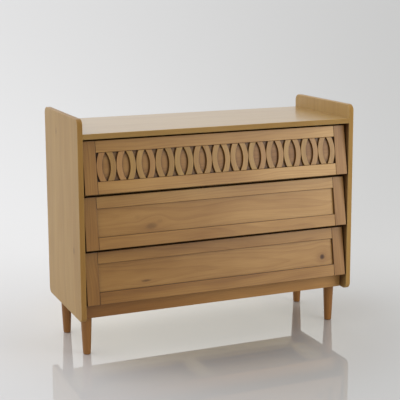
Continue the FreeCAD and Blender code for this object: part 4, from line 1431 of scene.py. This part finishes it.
@dataclass
class Drawer:
    """One drawer: a leaning frame-and-panel front on a doweled box that slides on two runners."""

    body: Body
    level: float
    seed: float
    # Tones, partly the boards' own and partly painted light and shade: of the front, of its parts beside it,
    # and, as painted light, how far they rise in a metre along it
    tone: float = 1.0
    lower_tone: float = 1.0
    upper_tone: float = 1.0
    fade: float = 0.0
    stile_tone: float = 0.74
    panel_tone: float = 1.0
    panel_fade: float = 0.0
    panel_knots: tuple[Knot, ...] = ()
    panel_corner: Corner | None = None
    lower_sawn: Sawn = Sawn.RIFT
    upper_sawn: Sawn = Sawn.RIFT
    # Seeds of the parts, from that of the drawer
    stile_seed: float = 1.3
    lower_seed: float = 5.2
    upper_seed: float = 7.7
    panel_seed: float = 9.4
    side_seeds: Span = (20.0, 22.1)
    back_seed: float = 31.7
    front: float = -200.0
    lean: float = 9.2
    length: float = 172.553
    half: float = 478.5
    stile: float = 43.5
    opening_low: float = 41.0677
    opening_high: float = 133.5562
    frame_board: float = 20.0
    frame_round: Round = Round(1.6, 3)
    groove_deep: float = 8.0
    panel_board: float = 8.0
    panel_recess: float = 8.0
    panel_room: float = 1.0
    side_out: float = 478.0
    side_board: float = 15.0
    side_round: Round = Round(0.6, 2)
    box_low: float = 14.068
    box_high: float = 144.333
    box_rear: float = 375.0
    base_low: float = 23.068
    base_high: float = 28.068
    base_groove: float = 4.0
    runner_low: float = 72.036
    # Track of the runner in a side: its floor from the middle, its front end, and its lower and upper wall
    track_floor: float = 469.2
    track_front: float = 71.2
    track_low: float = 71.236
    track_high: float = 90.436

    @property
    def name(self) -> str:
        """The drawer's name."""
        return self.body.value

    @property
    def leaning(self) -> Stand:
        """The frame of the front."""
        return Stand((0, self.front, self.level), self.lean)

    @property
    def upright(self) -> Stand:
        """The frame of the box."""
        return Stand((0, self.front, self.level))

    @property
    def clear(self) -> float:
        """Half of the width between the stiles."""
        return self.half - self.stile

    @property
    def panel_slot(self) -> Span:
        """The front and rear of the groove that holds the panel."""
        return self.panel_recess - PLAY, self.panel_recess + self.panel_board + PLAY

    def back_of_front(self, height: float) -> float:
        """How far back the rear face of the front lies at a height above its lower edge."""
        lean = math.radians(self.lean)
        return (self.frame_board + height * math.sin(lean)) / math.cos(lean)

    def build(self) -> None:
        """Make and dress every piece of the drawer."""
        for number, (side, sign) in enumerate(SIDES):
            self.stile_piece(side, sign, self.seed + self.stile_seed * number)
            self.box_side(side, sign, self.seed + self.side_seeds[number])
        self.rail("lower", (0.0, self.opening_low), self.lower_sawn, self.lower_seed, self.lower_tone)
        self.rail("upper", (self.opening_high, self.length), self.upper_sawn, self.upper_seed,
                  self.upper_tone)
        self.panel()
        self.box_back()
        self.dress_sheet()

    def ease_front(self, blank: Blank) -> None:
        """Ease the front edges of a member of the frame, and its rear edges a little."""
        blank.ease(self.frame_round, lambda a, b: max(a.y, b.y) < TOUCH)
        blank.ease(BROKEN, lambda a, b: min(a.y, b.y) > self.frame_board - TOUCH)

    def stile_piece(self, side: str, sign: int, seed: float) -> None:
        """Make a stile with its stopped groove.

        Args:
            side: Left or right.
            sign: -1 for left, 1 for right.
            seed: What moves its figure.
        """
        ends = sorted((sign * self.half, sign * self.clear))
        blank = Blank(f"{self.name}_upright_{side}", (ends[0], 0, 0),
                      (ends[1], self.frame_board, self.length), self.leaning)
        self.ease_front(blank)
        near, far = self.panel_slot
        walls = sorted((sign * (self.clear - OVERRUN), sign * (self.clear + self.groove_deep)))
        blank.groove((walls[0], near, self.opening_low - self.groove_deep),
                     (walls[1], far, self.opening_high + self.groove_deep))
        lay = blank.lay(UP, FRONT, Sawn.RIFT, seed, tone=self.stile_tone * self.tone,
                        seam=(self.length / 2, self.stile / 2))
        piece = blank.finish()
        FRONT_PINE.dress(piece, lay)
        settle(piece, self.body, f"{self.name}_stile_{side}")

    def rail(self, place: str, edges: Span, sawn: Sawn, seed: float, tone: float) -> None:
        """Make a rail of the front with its groove.

        Args:
            place: Upper or lower.
            edges: Its lower and upper edge, up the slope of the front, in mm.
            sawn: How it was sawn.
            seed: What moves its figure, from the drawer's seed.
            tone: Its tone beside the rest of the front.
        """
        low, high = edges
        blank = Blank(f"{self.name}_crosspiece_{place}", (-self.clear, 0, low),
                      (self.clear, self.frame_board, high), self.leaning)
        self.ease_front(blank)
        near, far = self.panel_slot
        mouth = (high - self.groove_deep, high + OVERRUN) if place == "lower" else \
            (low - OVERRUN, low + self.groove_deep)
        blank.groove((-self.clear - OVERRUN, near, mouth[0]), (self.clear + OVERRUN, far, mouth[1]))
        lay = blank.lay(RIGHT, FRONT, sawn, self.seed + seed, tone=tone * self.tone, fade=self.fade,
                        seam=(self.clear, (high - low) / 2))
        piece = blank.finish()
        FRONT_PINE.dress(piece, lay)
        settle(piece, self.body, f"{self.name}_rail_{place}")

    def panel(self) -> None:
        """Make the sunk panel, its edges lost in the grooves of the frame."""
        reach = self.groove_deep - self.panel_room
        blank = Blank(f"{self.name}_sunk_panel",
                      (-self.clear - reach, self.panel_recess, self.opening_low - reach),
                      (self.clear + reach, self.panel_recess + self.panel_board, self.opening_high + reach),
                      self.leaning)
        blank.ease(SANDED, lambda a, b: abs(a.y - b.y) < TOUCH)
        lay = blank.lay(RIGHT, FRONT, Sawn.CROWN, self.seed + self.panel_seed,
                        tone=self.tone * self.panel_tone, fade=self.panel_fade, knots=self.panel_knots,
                        corner=self.panel_corner)
        piece = blank.finish()
        FRONT_PINE.dress(piece, lay)
        settle(piece, self.body, f"{self.name}_panel")

    def box_side(self, side: str, sign: int, seed: float) -> None:
        """Make a side of the box: a leaning front end, a track for the runner and a groove for the base.

        Args:
            side: Left or right.
            sign: -1 for left, 1 for right.
            seed: What moves its figure.
        """
        inner, outer = sign * (self.side_out - self.side_board), sign * self.side_out
        front, front_high = (self.back_of_front(z) for z in (self.box_low, self.box_high))
        top, bottom = self.box_high - TOUCH, self.box_low + TOUCH
        blank = Blank(f"{self.name}_boxside_{side}", (min(inner, outer), front, self.box_low),
                      (max(inner, outer), self.box_rear, self.box_high), self.upright)
        blank.slide_edge((0, front_high - front, 0),
                         lambda a, b: max(a.y, b.y) < front + TOUCH and min(a.z, b.z) > top)
        blank.ease(HANDLED, lambda a, b: abs(a.y - b.y) > self.side_board and min(a.z, b.z) > top)
        blank.ease(self.side_round, lambda a, b: abs(a.y - b.y) > self.side_board and max(a.z, b.z) < bottom)
        walls = sorted((sign * self.track_floor, outer + sign * OVERRUN))
        blank.groove((walls[0], self.track_front, self.track_low),
                     (walls[1], self.box_rear + OVERRUN, self.track_high))
        walls = sorted((inner - sign * OVERRUN, inner + sign * self.base_groove))
        blank.groove((walls[0], front - OVERRUN, self.base_low - PLAY),
                     (walls[1], self.box_rear + OVERRUN, self.base_high + PLAY))
        lay = blank.lay(REAR, (sign, 0, 0), Sawn.CROWN, seed)
        piece = blank.finish()
        BOX_PINE.dress(piece, lay)
        settle(piece, self.body, f"{self.name}_side_{side}")

    def box_back(self) -> None:
        """Make the back of the box with the groove for its base."""
        inner = self.side_out - self.side_board
        front = self.box_rear - self.side_board
        blank = Blank(f"{self.name}_boxback", (-inner, front, self.box_low),
                      (inner, self.box_rear, self.box_high), self.upright)
        blank.ease(HANDLED, lambda a, b: abs(a.x - b.x) > inner and min(a.z, b.z) > self.box_high - TOUCH)
        blank.groove((-inner - OVERRUN, front - OVERRUN, self.base_low - PLAY),
                     (inner + OVERRUN, front + self.base_groove, self.base_high + PLAY))
        lay = blank.lay(RIGHT, REAR, Sawn.CROWN, self.seed + self.back_seed)
        piece = blank.finish()
        BOX_PINE.dress(piece, lay)
        settle(piece, self.body, f"{self.name}_back")

    def dress_sheet(self) -> None:
        """Dress the plywood base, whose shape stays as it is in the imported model."""
        middle = self.upright.world((0, self.box_rear / 2, (self.base_low + self.base_high) / 2))
        PLYWOOD.dress(frame["nodes"][f"{self.name}_base"],
                      Lay(middle, Vector(RIGHT), Vector(UP), Sawn.CROWN, self.seed))
        LOG.info("%s_base keeps its shape", self.name)


@dataclass
class Lattice:
    """The row of lens shapes on the top drawer: curved slats in facing pairs, glued to the sunk panel."""

    drawer: Drawer
    count: int = 13
    slat: float = 18.8
    board: float = 7.0
    edge: Round = Round(0.9, 3)
    # Edges that turn by more than this, in degrees, are eased
    corner_angle: float = 45.0
    inner_radius: float = 89.08
    bow: float = 12.761
    tip_gap: float = 3.0
    half_tall: float = 45.944
    swing: float = 35.0
    steps: int = 28
    tone: float = 0.9
    seed: float = 71.0

    @property
    def pitch(self) -> float:
        """The width of one lens with its gap."""
        return 2 * self.drawer.clear / self.count

    def build(self) -> None:
        """Make the slats of each hand as one piece."""
        stand = self.drawer.leaning
        middle = (self.drawer.opening_low + self.drawer.opening_high) / 2
        for side, sign in SIDES:
            pattern = self.bend_slat(sign)
            copies = []
            for number in range(self.count):
                x = (number + 0.5) * self.pitch - self.drawer.clear
                copies.append(copy_at(pattern, (x, self.drawer.panel_recess, middle)))
                self.number_slat(copies[-1], number, sign)
            bpy.data.objects.remove(pattern)
            piece = join(copies, f"lens_slats_{side}")
            piece.rotation_euler = stand.turn.to_euler()
            piece.location = metres(stand.origin)
            piece = join([piece], piece.name)
            up, out = stand.turn @ Vector(UP), stand.turn @ Vector(FRONT)
            lay = Lay(stand.world((0, 0, middle)), up, out, Sawn.RIFT, self.seed + sign, tone=self.tone)
            LATTICE_PINE.dress(piece, lay)
            settle(piece, self.drawer.body, f"{self.drawer.name}_lattice_{side}")

    def number_slat(self, slat: Piece, number: int, sign: int) -> None:
        """Give a slat a number of its own, by which its wood differs from that of its neighbours.

        Args:
            slat: The slat.
            number: Its place in the row.
            sign: Its hand.
        """
        chance = (number * 7 + 3 * sign) % 11 + (number * 5 + 2 + sign) % 7 / 7
        mark = slat.data.attributes.new(SLAT_NUMBER, "FLOAT", "POINT")
        mark.data.foreach_set("value", [chance] * len(slat.data.vertices))

    def bend_slat(self, sign: int) -> Piece:
        """Bend one slat about its hub, cut its ends level and ease its front edges.

        Args:
            sign: 1 for a slat that bulges to the right, -1 for one to the left.

        Returns:
            The slat, with the middle of its lens at the origin.
        """
        hub = Vector((-sign * (self.inner_radius - self.bow - self.tip_gap / 2), 0, 0))
        radius = self.inner_radius + self.slat / 2
        swing = math.radians(self.swing)
        start = hub + Vector((sign * radius * math.cos(swing), -self.board / 2, -radius * math.sin(swing)))
        bpy.ops.object.select_all(action="DESELECT")
        bpy.ops.mesh.primitive_plane_add(size=1, location=metres(start), rotation=(0, sign * swing, 0))
        slat = bpy.context.active_object
        slat.name = f"slat_{sign}"
        slat.scale = (self.slat * MM, self.board * MM, 1)
        bpy.ops.object.transform_apply(location=True, rotation=True, scale=True)
        bpy.ops.object.mode_set(mode="EDIT")
        bpy.ops.mesh.select_all(action="SELECT")
        bpy.ops.mesh.spin(steps=self.steps, angle=sign * 2 * swing, center=metres(hub), axis=REAR)
        for end in (-1, 1):
            bpy.ops.mesh.select_all(action="SELECT")
            bpy.ops.mesh.bisect(plane_co=(0, 0, end * self.half_tall * MM), plane_no=(0, 0, end),
                                use_fill=True, clear_outer=True)
        bpy.ops.mesh.select_all(action="SELECT")
        bpy.ops.mesh.remove_doubles(threshold=TOUCH * MM)
        bpy.ops.mesh.normals_make_consistent(inside=False)
        bpy.ops.mesh.select_mode(type="EDGE")
        bpy.ops.mesh.select_all(action="DESELECT")
        mesh = bmesh.from_edit_mesh(slat.data)
        for edge in mesh.edges:
            level = max(vertex.co.y for vertex in edge.verts)
            sharp = len(edge.link_faces) == 2 and edge.calc_face_angle() > math.radians(self.corner_angle)
            edge.select_set(level < (TOUCH - self.board) * MM and sharp)
        bmesh.update_edit_mesh(slat.data)
        bpy.ops.mesh.bevel(offset=self.edge.radius * MM, segments=self.edge.facets, profile=0.5,
                           affect="EDGES")
        bpy.ops.object.mode_set(mode="OBJECT")
        sand(slat)
        return slat


# The drawers from the lowest up, each with the knots of its own boards, and tones partly their own and partly
# painted light and shade
DRAWERS = (
    Drawer(Body.BOTTOM, level=190.0, seed=101.0, tone=0.86, lower_tone=0.84, upper_tone=0.88, fade=0.32,
           panel_tone=0.94, panel_fade=0.12, upper_sawn=Sawn.CROWN,
           panel_knots=(Knot(393, -16.6, 12.5, 1.05, 0.95, 0.16), Knot(-270, -26, 5.0, 4.5, 0.6))),
    Drawer(Body.MIDDLE, level=372.833, seed=113.0, tone=0.97, lower_tone=0.82, upper_tone=0.97, fade=0.25,
           panel_tone=0.9, panel_fade=0.3, lower_sawn=Sawn.CROWN,
           panel_knots=(Knot(-250, -25.4, 15.0, 1.9, 0.4), Knot(-298, 8, 9.0, 1.5, 0.1),
                        Knot(-219, -12, 8.0, 1.6, 0.12))),
    # The sunk panel behind the lattice is darker, with painted shade in its corners
    Drawer(Body.TOP, level=555.667, seed=127.0, tone=0.95, fade=0.36, panel_tone=0.78, panel_fade=-0.2,
           panel_corner=Corner(14.0, 1.0)),
)


@dataclass
class Fasteners:
    """Screws and cam locks, modelled with their drives, and the fixings hidden in the wood."""

    head: float = 4.0
    head_rim: float = 0.3
    head_height: float = 2.6
    shank: float = 2.0
    length: float = 22.0
    point: float = 5.0
    # Radius of the shank above its point and at its tip, beside that under the head
    neck_share: float = 0.96
    tip_share: float = 0.25
    sides: int = 28
    # Length, width and depth of each slot of a cross drive
    drive: Point = (4.6, 1.0, 1.6)
    cam_drive: Point = (9.0, 2.0, 3.0)
    cam_rim: float = 0.5
    cam_sides: int = 48
    back_screw_shares: tuple[float, ...] = (0.06, 0.28, 0.5, 0.72, 0.94)
    back_face: float = 190.0
    back_level: float = 171.0
    hidden_steel: tuple[str, ...] = ("cam_bolts", "leg_bolts")

    def build(self, case: Case) -> None:
        """Make the screws and cam locks of the case, and dress what the wood hides.

        Args:
            case: The case that they hold together.
        """
        pattern = self.screw()
        runner_spots = []
        for drawer in DRAWERS:
            z = drawer.level + drawer.runner_low + case.runner_height / 2
            for _, sign in SIDES:
                x = sign * (case.inner - case.runner_reach)
                runner_spots.extend(((x, y, z), (sign, 0, 0)) for y in case.runner_screw_places)
        self.spread(pattern, runner_spots, "runner_screw_set", "runner_screws")
        back_spots = [(((2 * share - 1) * case.inner, self.back_face, self.back_level), FRONT)
                      for share in self.back_screw_shares]
        self.spread(pattern, back_spots, "back_screw_set", "back_panel_screws")
        bpy.data.objects.remove(pattern)
        self.cam_locks(case)
        for name in ("carcass", *(drawer.name for drawer in DRAWERS)):
            BEECH.dress(frame["nodes"][f"{name}_dowels"], RIGHT)
        for name in self.hidden_steel:
            PLATED_STEEL.dress(frame["nodes"][name])
        CAST_ZINC.dress(frame["nodes"]["leg_inserts"])

    def spread(self, pattern: Piece, spots: Iterable[tuple[Point, Point]], name: str, node: str) -> None:
        """Copy a screw to every spot and join the copies.

        Args:
            pattern: The screw, its head at the origin and its point below.
            spots: For each copy, where its head is and which way its point goes.
            name: The joined piece's name.
            node: The node that it stands for.
        """
        down = Vector(DOWN)
        piece = join([copy_at(pattern, at, down.rotation_difference(Vector(way))) for at, way in spots], name)
        PLATED_STEEL.dress(piece)
        settle(piece, Body.CASE, node)

    def screw(self) -> Piece:
        """Make a countersunk screw with a cross drive.

        Returns:
            The screw, its head's face at the origin and its point below.
        """
        outline = ((self.head, 0.0), (self.head, -self.head_rim), (self.shank, -self.head_height),
                   (self.shank * self.neck_share, self.point - self.length),
                   (self.shank * self.tip_share, -self.length))
        return self.drive_in(turn_solid("screw_pattern", self.sides, outline), self.drive)

    def drive_in(self, piece: Piece, size: Point) -> Piece:
        """Sink a cross drive into the top of a piece.

        Args:
            piece: The piece, its face at the origin.
            size: Length, width and depth of each slot in mm.

        Returns:
            The same piece, sanded smooth.
        """
        long, wide, deep = size
        for x, y in ((long, wide), (wide, long)):
            cut_out(piece, Blank("drive_slot", (-x / 2, -y / 2, -deep), (x / 2, y / 2, OVERRUN)).piece)
        sand(piece)
        return piece

    def cam_locks(self, case: Case) -> None:
        """Make the eight cam locks: a cast disc with a bevelled rim and a cross drive, its face downwards.

        Args:
            case: The case that they lock.
        """
        rim, radius, depth = self.cam_rim, case.cam_radius, case.cam_depth
        outline = ((radius - rim, 0.0), (radius, -rim), (radius, rim - depth), (radius - rim, -depth))
        disc = self.drive_in(turn_solid("cam_pattern", self.cam_sides, outline), self.cam_drive)
        upside_down = Quaternion(RIGHT, math.pi)
        copies = []
        for level, *places in (case.top_cams, case.bottom_cams):
            for y in places:
                for _, sign in SIDES:
                    at = (sign * (case.inner - case.cam_inset), y, level)
                    copies.append(copy_at(disc, at, upside_down))
        bpy.data.objects.remove(disc)
        piece = join(copies, "cam_lock_set")
        CAST_ZINC.dress(piece)
        settle(piece, Body.CASE, "cam_locks")


@dataclass
class Studio:
    """A pale glossy floor, soft light from the right, and the camera of the photograph."""

    floor_radius: float = 200.0
    floor_sides: int = 96
    # Painted light: the sheet is dark at the right and light at the left as the camera sees it, with so steep
    # a change
    floor_dark: str = "#c9c9c8"
    floor_light: str = "#e6e6e7"
    floor_aside: Point = (-0.92, 0.39, 0.0)
    floor_slant: float = 0.35
    # Painted shade: it darkens toward the camera between two places, in metres, down to a tone
    floor_ahead: Point = (-0.39, -0.92, 0.0)
    floor_dusk: Span = (-1.2, 0.35)
    floor_near_shade: float = 0.78
    # Painted shadow under the chest and painted shade under the lamp against its pool of light: tones, and
    # the metres over which each goes back to full
    shadow_tone: float = 0.79
    shadow_reach: Span = (0.15, 0.5)
    lamp_pool_shade: float = 0.55
    lamp_pool_reach: Span = (0.6, 2.0)
    # Painted warm bounce light on the sheet and a painted warm tint of its reflection round the chest, and
    # the metres over which they are lost
    bounce_tint: str = "#fffaf6"
    reflection_tint: str = "#fffdf4"
    tint_reach: Span = (0.3, 0.85)
    # Polish: index, roughness, how much it mirrors from steep to low, and how that fades with distance
    floor_gloss: float = 2.0
    floor_rough: float = 0.014
    mirror_levels: Span = (0.05, 0.55)
    mirror_shares: Span = (0.2, 0.74)
    mirror_reach: Span = (0.25, 0.7)
    mirror_far: float = 0.42
    # Soft box: watts, metres, its place and its aim, and the finishes that show its gleam
    key_power: float = 40.0
    key_size: float = 1.8
    key_spot: Point = (1700.0, -2200.0, 1100.0)
    key_aim: Point = (0.0, 0.0, 400.0)
    gleaming: tuple[str, ...] = (FRONT_PINE.name, LATTICE_PINE.name, BASE_PINE.name)
    # Room: the way to its bright side, its levels away from and toward that, and its lift with height
    room: str = "#ffffff"
    sky_way: Point = (-0.7, 0.57, 0.43)
    sky_reach: Span = (-0.7, 0.9)
    sky_levels: Span = (0.134, 1.121)
    sky_rise: float = 0.35
    sky_lift: float = 1.3
    # Camera: focal length and image centre in pixels of the photograph, angles in degrees, eye in mm
    focal_pixels: float = 1053.21
    centre: Span = (200.0, 168.0)
    pixels: float = 400.0
    sensor: float = 36.0
    yaw: float = 22.812
    pitch: float = 9.977
    roll: float = -0.241
    eye: Point = (-1412.4, -3359.5, 1220.0)

    def build(self) -> None:
        """Set up the floor, the light and the camera."""
        self.floor()
        self.world()
        self.light()
        self.camera()

    def floor(self) -> None:
        """Lay the floor: pale polished sheet, in which the chest mirrors softly; light, shade and a warm tint
        are painted on it.
        """
        bpy.ops.object.select_all(action="DESELECT")
        bpy.ops.mesh.primitive_circle_add(vertices=self.floor_sides, radius=self.floor_radius,
                                          fill_type="NGON")
        floor = bpy.context.active_object
        floor.name = "studio_floor"
        material, tree = new_material("polished_white_sheet")
        coords = add(tree, "TexCoord", out="Object")
        gap = add(tree, "VectorMath", (coords,), out="Value", operation="LENGTH")
        # Painted warm bounce light on the sheet and a painted warm tint of its reflection, round the chest
        near = add(tree, "MapRange", (gap, *self.tint_reach, 1.0, 0.0), interpolation_type="SMOOTHSTEP")
        plain = self.sheet(tree, coords, gap)
        tinted = add(tree, "Mix", {0: near, 6: plain, 7: linear(self.bounce_tint)}, out=2, data_type="RGBA",
                     blend_type="MULTIPLY")
        image = add(tree, "Mix", {0: near, 6: linear("#ffffff"), 7: linear(self.reflection_tint)}, out=2,
                    data_type="RGBA")
        slope = add(tree, "Fresnel", {"IOR": self.floor_gloss})
        gloss = add(tree, "MapRange", (slope, *self.mirror_levels, *self.mirror_shares),
                    interpolation_type="SMOOTHSTEP")
        fade = add(tree, "MapRange", (gap, *self.mirror_reach, 1.0, self.mirror_far),
                   interpolation_type="SMOOTHSTEP")
        mirror = add(tree, "Math", (gloss, fade), operation="MULTIPLY")
        matt = add(tree, "BsdfDiffuse", {"Color": tinted})
        polish = add(tree, "BsdfGlossy", {"Color": image, "Roughness": self.floor_rough})
        wear(floor, material, add(tree, "MixShader", (mirror, matt, polish)))

    def sheet(self, tree: Tree, coords: Socket, gap: Socket) -> Socket:
        """Paint light and shade on the sheet of the floor from place to place.

        Args:
            tree: The material's tree.
            coords: Coordinates on the floor.
            gap: Distance from the middle of the chest in metres.

        Returns:
            The colour of the sheet.
        """
        # Painted light: the sheet is lighter to one side
        aside = add(tree, "VectorMath", (coords, self.floor_aside), out="Value", operation="DOT_PRODUCT")
        reach = add(tree, "Math", (gap, 1.0), operation="ADD")
        slant = add(tree, "Math", (aside, reach), operation="DIVIDE")
        share = add(tree, "MapRange", (slant, -self.floor_slant, self.floor_slant, 0.0, 1.0),
                    interpolation_type="SMOOTHSTEP")
        plain = add(tree, "Mix", {0: share, 6: linear(self.floor_dark), 7: linear(self.floor_light)}, out=2,
                    data_type="RGBA")
        ahead = add(tree, "VectorMath", (coords, self.floor_ahead), out="Value", operation="DOT_PRODUCT")
        # Painted shade toward the camera, a painted shadow under the chest, and painted shade under the lamp
        dusk = add(tree, "MapRange", (ahead, *self.floor_dusk, 1.0, self.floor_near_shade),
                   interpolation_type="SMOOTHSTEP")
        below = add(tree, "MapRange", (gap, *self.shadow_reach, self.shadow_tone, 1.0),
                    interpolation_type="SMOOTHSTEP")
        foot = metres((self.key_spot[0], self.key_spot[1], 0.0))
        apart = add(tree, "VectorMath", (coords, foot), out="Value", operation="DISTANCE")
        pool = add(tree, "MapRange", (apart, *self.lamp_pool_reach, self.lamp_pool_shade, 1.0),
                   interpolation_type="SMOOTHSTEP")
        shade = add(tree, "Math", (dusk, below), operation="MULTIPLY")
        tone = add(tree, "Math", (shade, pool), operation="MULTIPLY")
        return add(tree, "HueSaturation", {"Color": plain, "Value": tone})

    def world(self) -> None:
        """Set the chest in an even pale room, brighter on one side and with height."""
        world = bpy.data.worlds.new("pale_room")
        bpy.context.scene.world = world
        world.use_nodes = True
        tree = world.node_tree
        tree.nodes.clear()
        way = add(tree, "TexCoord", out="Generated")
        toward = add(tree, "VectorMath", (way, self.sky_way), out="Value", operation="DOT_PRODUCT")
        glow = add(tree, "MapRange", (toward, *self.sky_reach, *self.sky_levels))
        height = add(tree, "SeparateXYZ", (way,), out="Z")
        lift = add(tree, "MapRange", (height, 0.0, self.sky_rise, 1.0, self.sky_lift),
                   interpolation_type="SMOOTHSTEP")
        level = add(tree, "Math", (glow, lift), operation="MULTIPLY")
        room = add(tree, "Background", {"Color": linear(self.room), "Strength": level})
        add(tree, "OutputWorld", {"Surface": room})

    def light(self) -> None:
        """Hang a large soft box at the right: one lamp for its light, and one for its gleam in lacquer."""
        box = self.lamp("soft_box")
        box.visible_glossy = False
        gleam = self.lamp("soft_box_gleam")
        gleam.visible_diffuse = False
        lacquered = bpy.data.collections.new("lacquered_pieces")
        for piece in bpy.context.scene.objects:
            if any(slot.material.name.startswith(self.gleaming) for slot in piece.material_slots):
                lacquered.objects.link(piece)
        gleam.light_linking.receiver_collection = lacquered

    def lamp(self, name: str) -> Piece:
        """Hang one lamp in the place of the soft box.

        Args:
            name: Name of the lamp.

        Returns:
            The lamp, aimed at the middle of the chest.
        """
        spot = metres(self.key_spot)
        turn = (metres(self.key_aim) - spot).to_track_quat("-Z", "Y")
        bpy.ops.object.select_all(action="DESELECT")
        bpy.ops.object.light_add(type="AREA", location=spot, rotation=turn.to_euler())
        lamp = bpy.context.active_object
        lamp.name = name
        lamp.data.shape = "SQUARE"
        lamp.data.size = self.key_size
        lamp.data.energy = self.key_power
        return lamp

    def camera(self) -> None:
        """Stand the camera where the photograph was taken."""
        yaw, pitch, roll = (math.radians(angle) for angle in (self.yaw, self.pitch, self.roll))
        ahead = Vector((math.sin(yaw) * math.cos(pitch), math.cos(yaw) * math.cos(pitch), -math.sin(pitch)))
        right = Vector((math.cos(yaw), -math.sin(yaw), 0))
        up = right.cross(ahead)
        tilted = math.cos(roll) * right + math.sin(roll) * up
        upper = math.cos(roll) * up - math.sin(roll) * right
        turn = Matrix((tilted, upper, -ahead)).transposed()
        bpy.ops.object.select_all(action="DESELECT")
        bpy.ops.object.camera_add(location=metres(self.eye), rotation=turn.to_euler())
        camera = bpy.context.active_object
        camera.name = "studio_camera"
        camera.data.sensor_width = self.sensor
        camera.data.lens = self.focal_pixels / self.pixels * self.sensor
        camera.data.clip_end = 2 * self.floor_radius
        camera.data.shift_x = (self.pixels / 2 - self.centre[0]) / self.pixels
        camera.data.shift_y = (self.centre[1] - self.pixels / 2) / self.pixels
        bpy.context.scene.camera = camera


def main() -> None:
    """Build the chest piece by piece, and the studio round it."""
    logging.basicConfig(level=logging.INFO, format="%(name)s: %(message)s")
    case = Case()
    case.build()
    Legs().build()
    for drawer in DRAWERS:
        drawer.build()
    Lattice(DRAWERS[-1]).build()
    Fasteners().build(case)
    Studio().build()
    bpy.context.scene.view_settings.view_transform = "Standard"


if __name__ == "__main__":
    main()
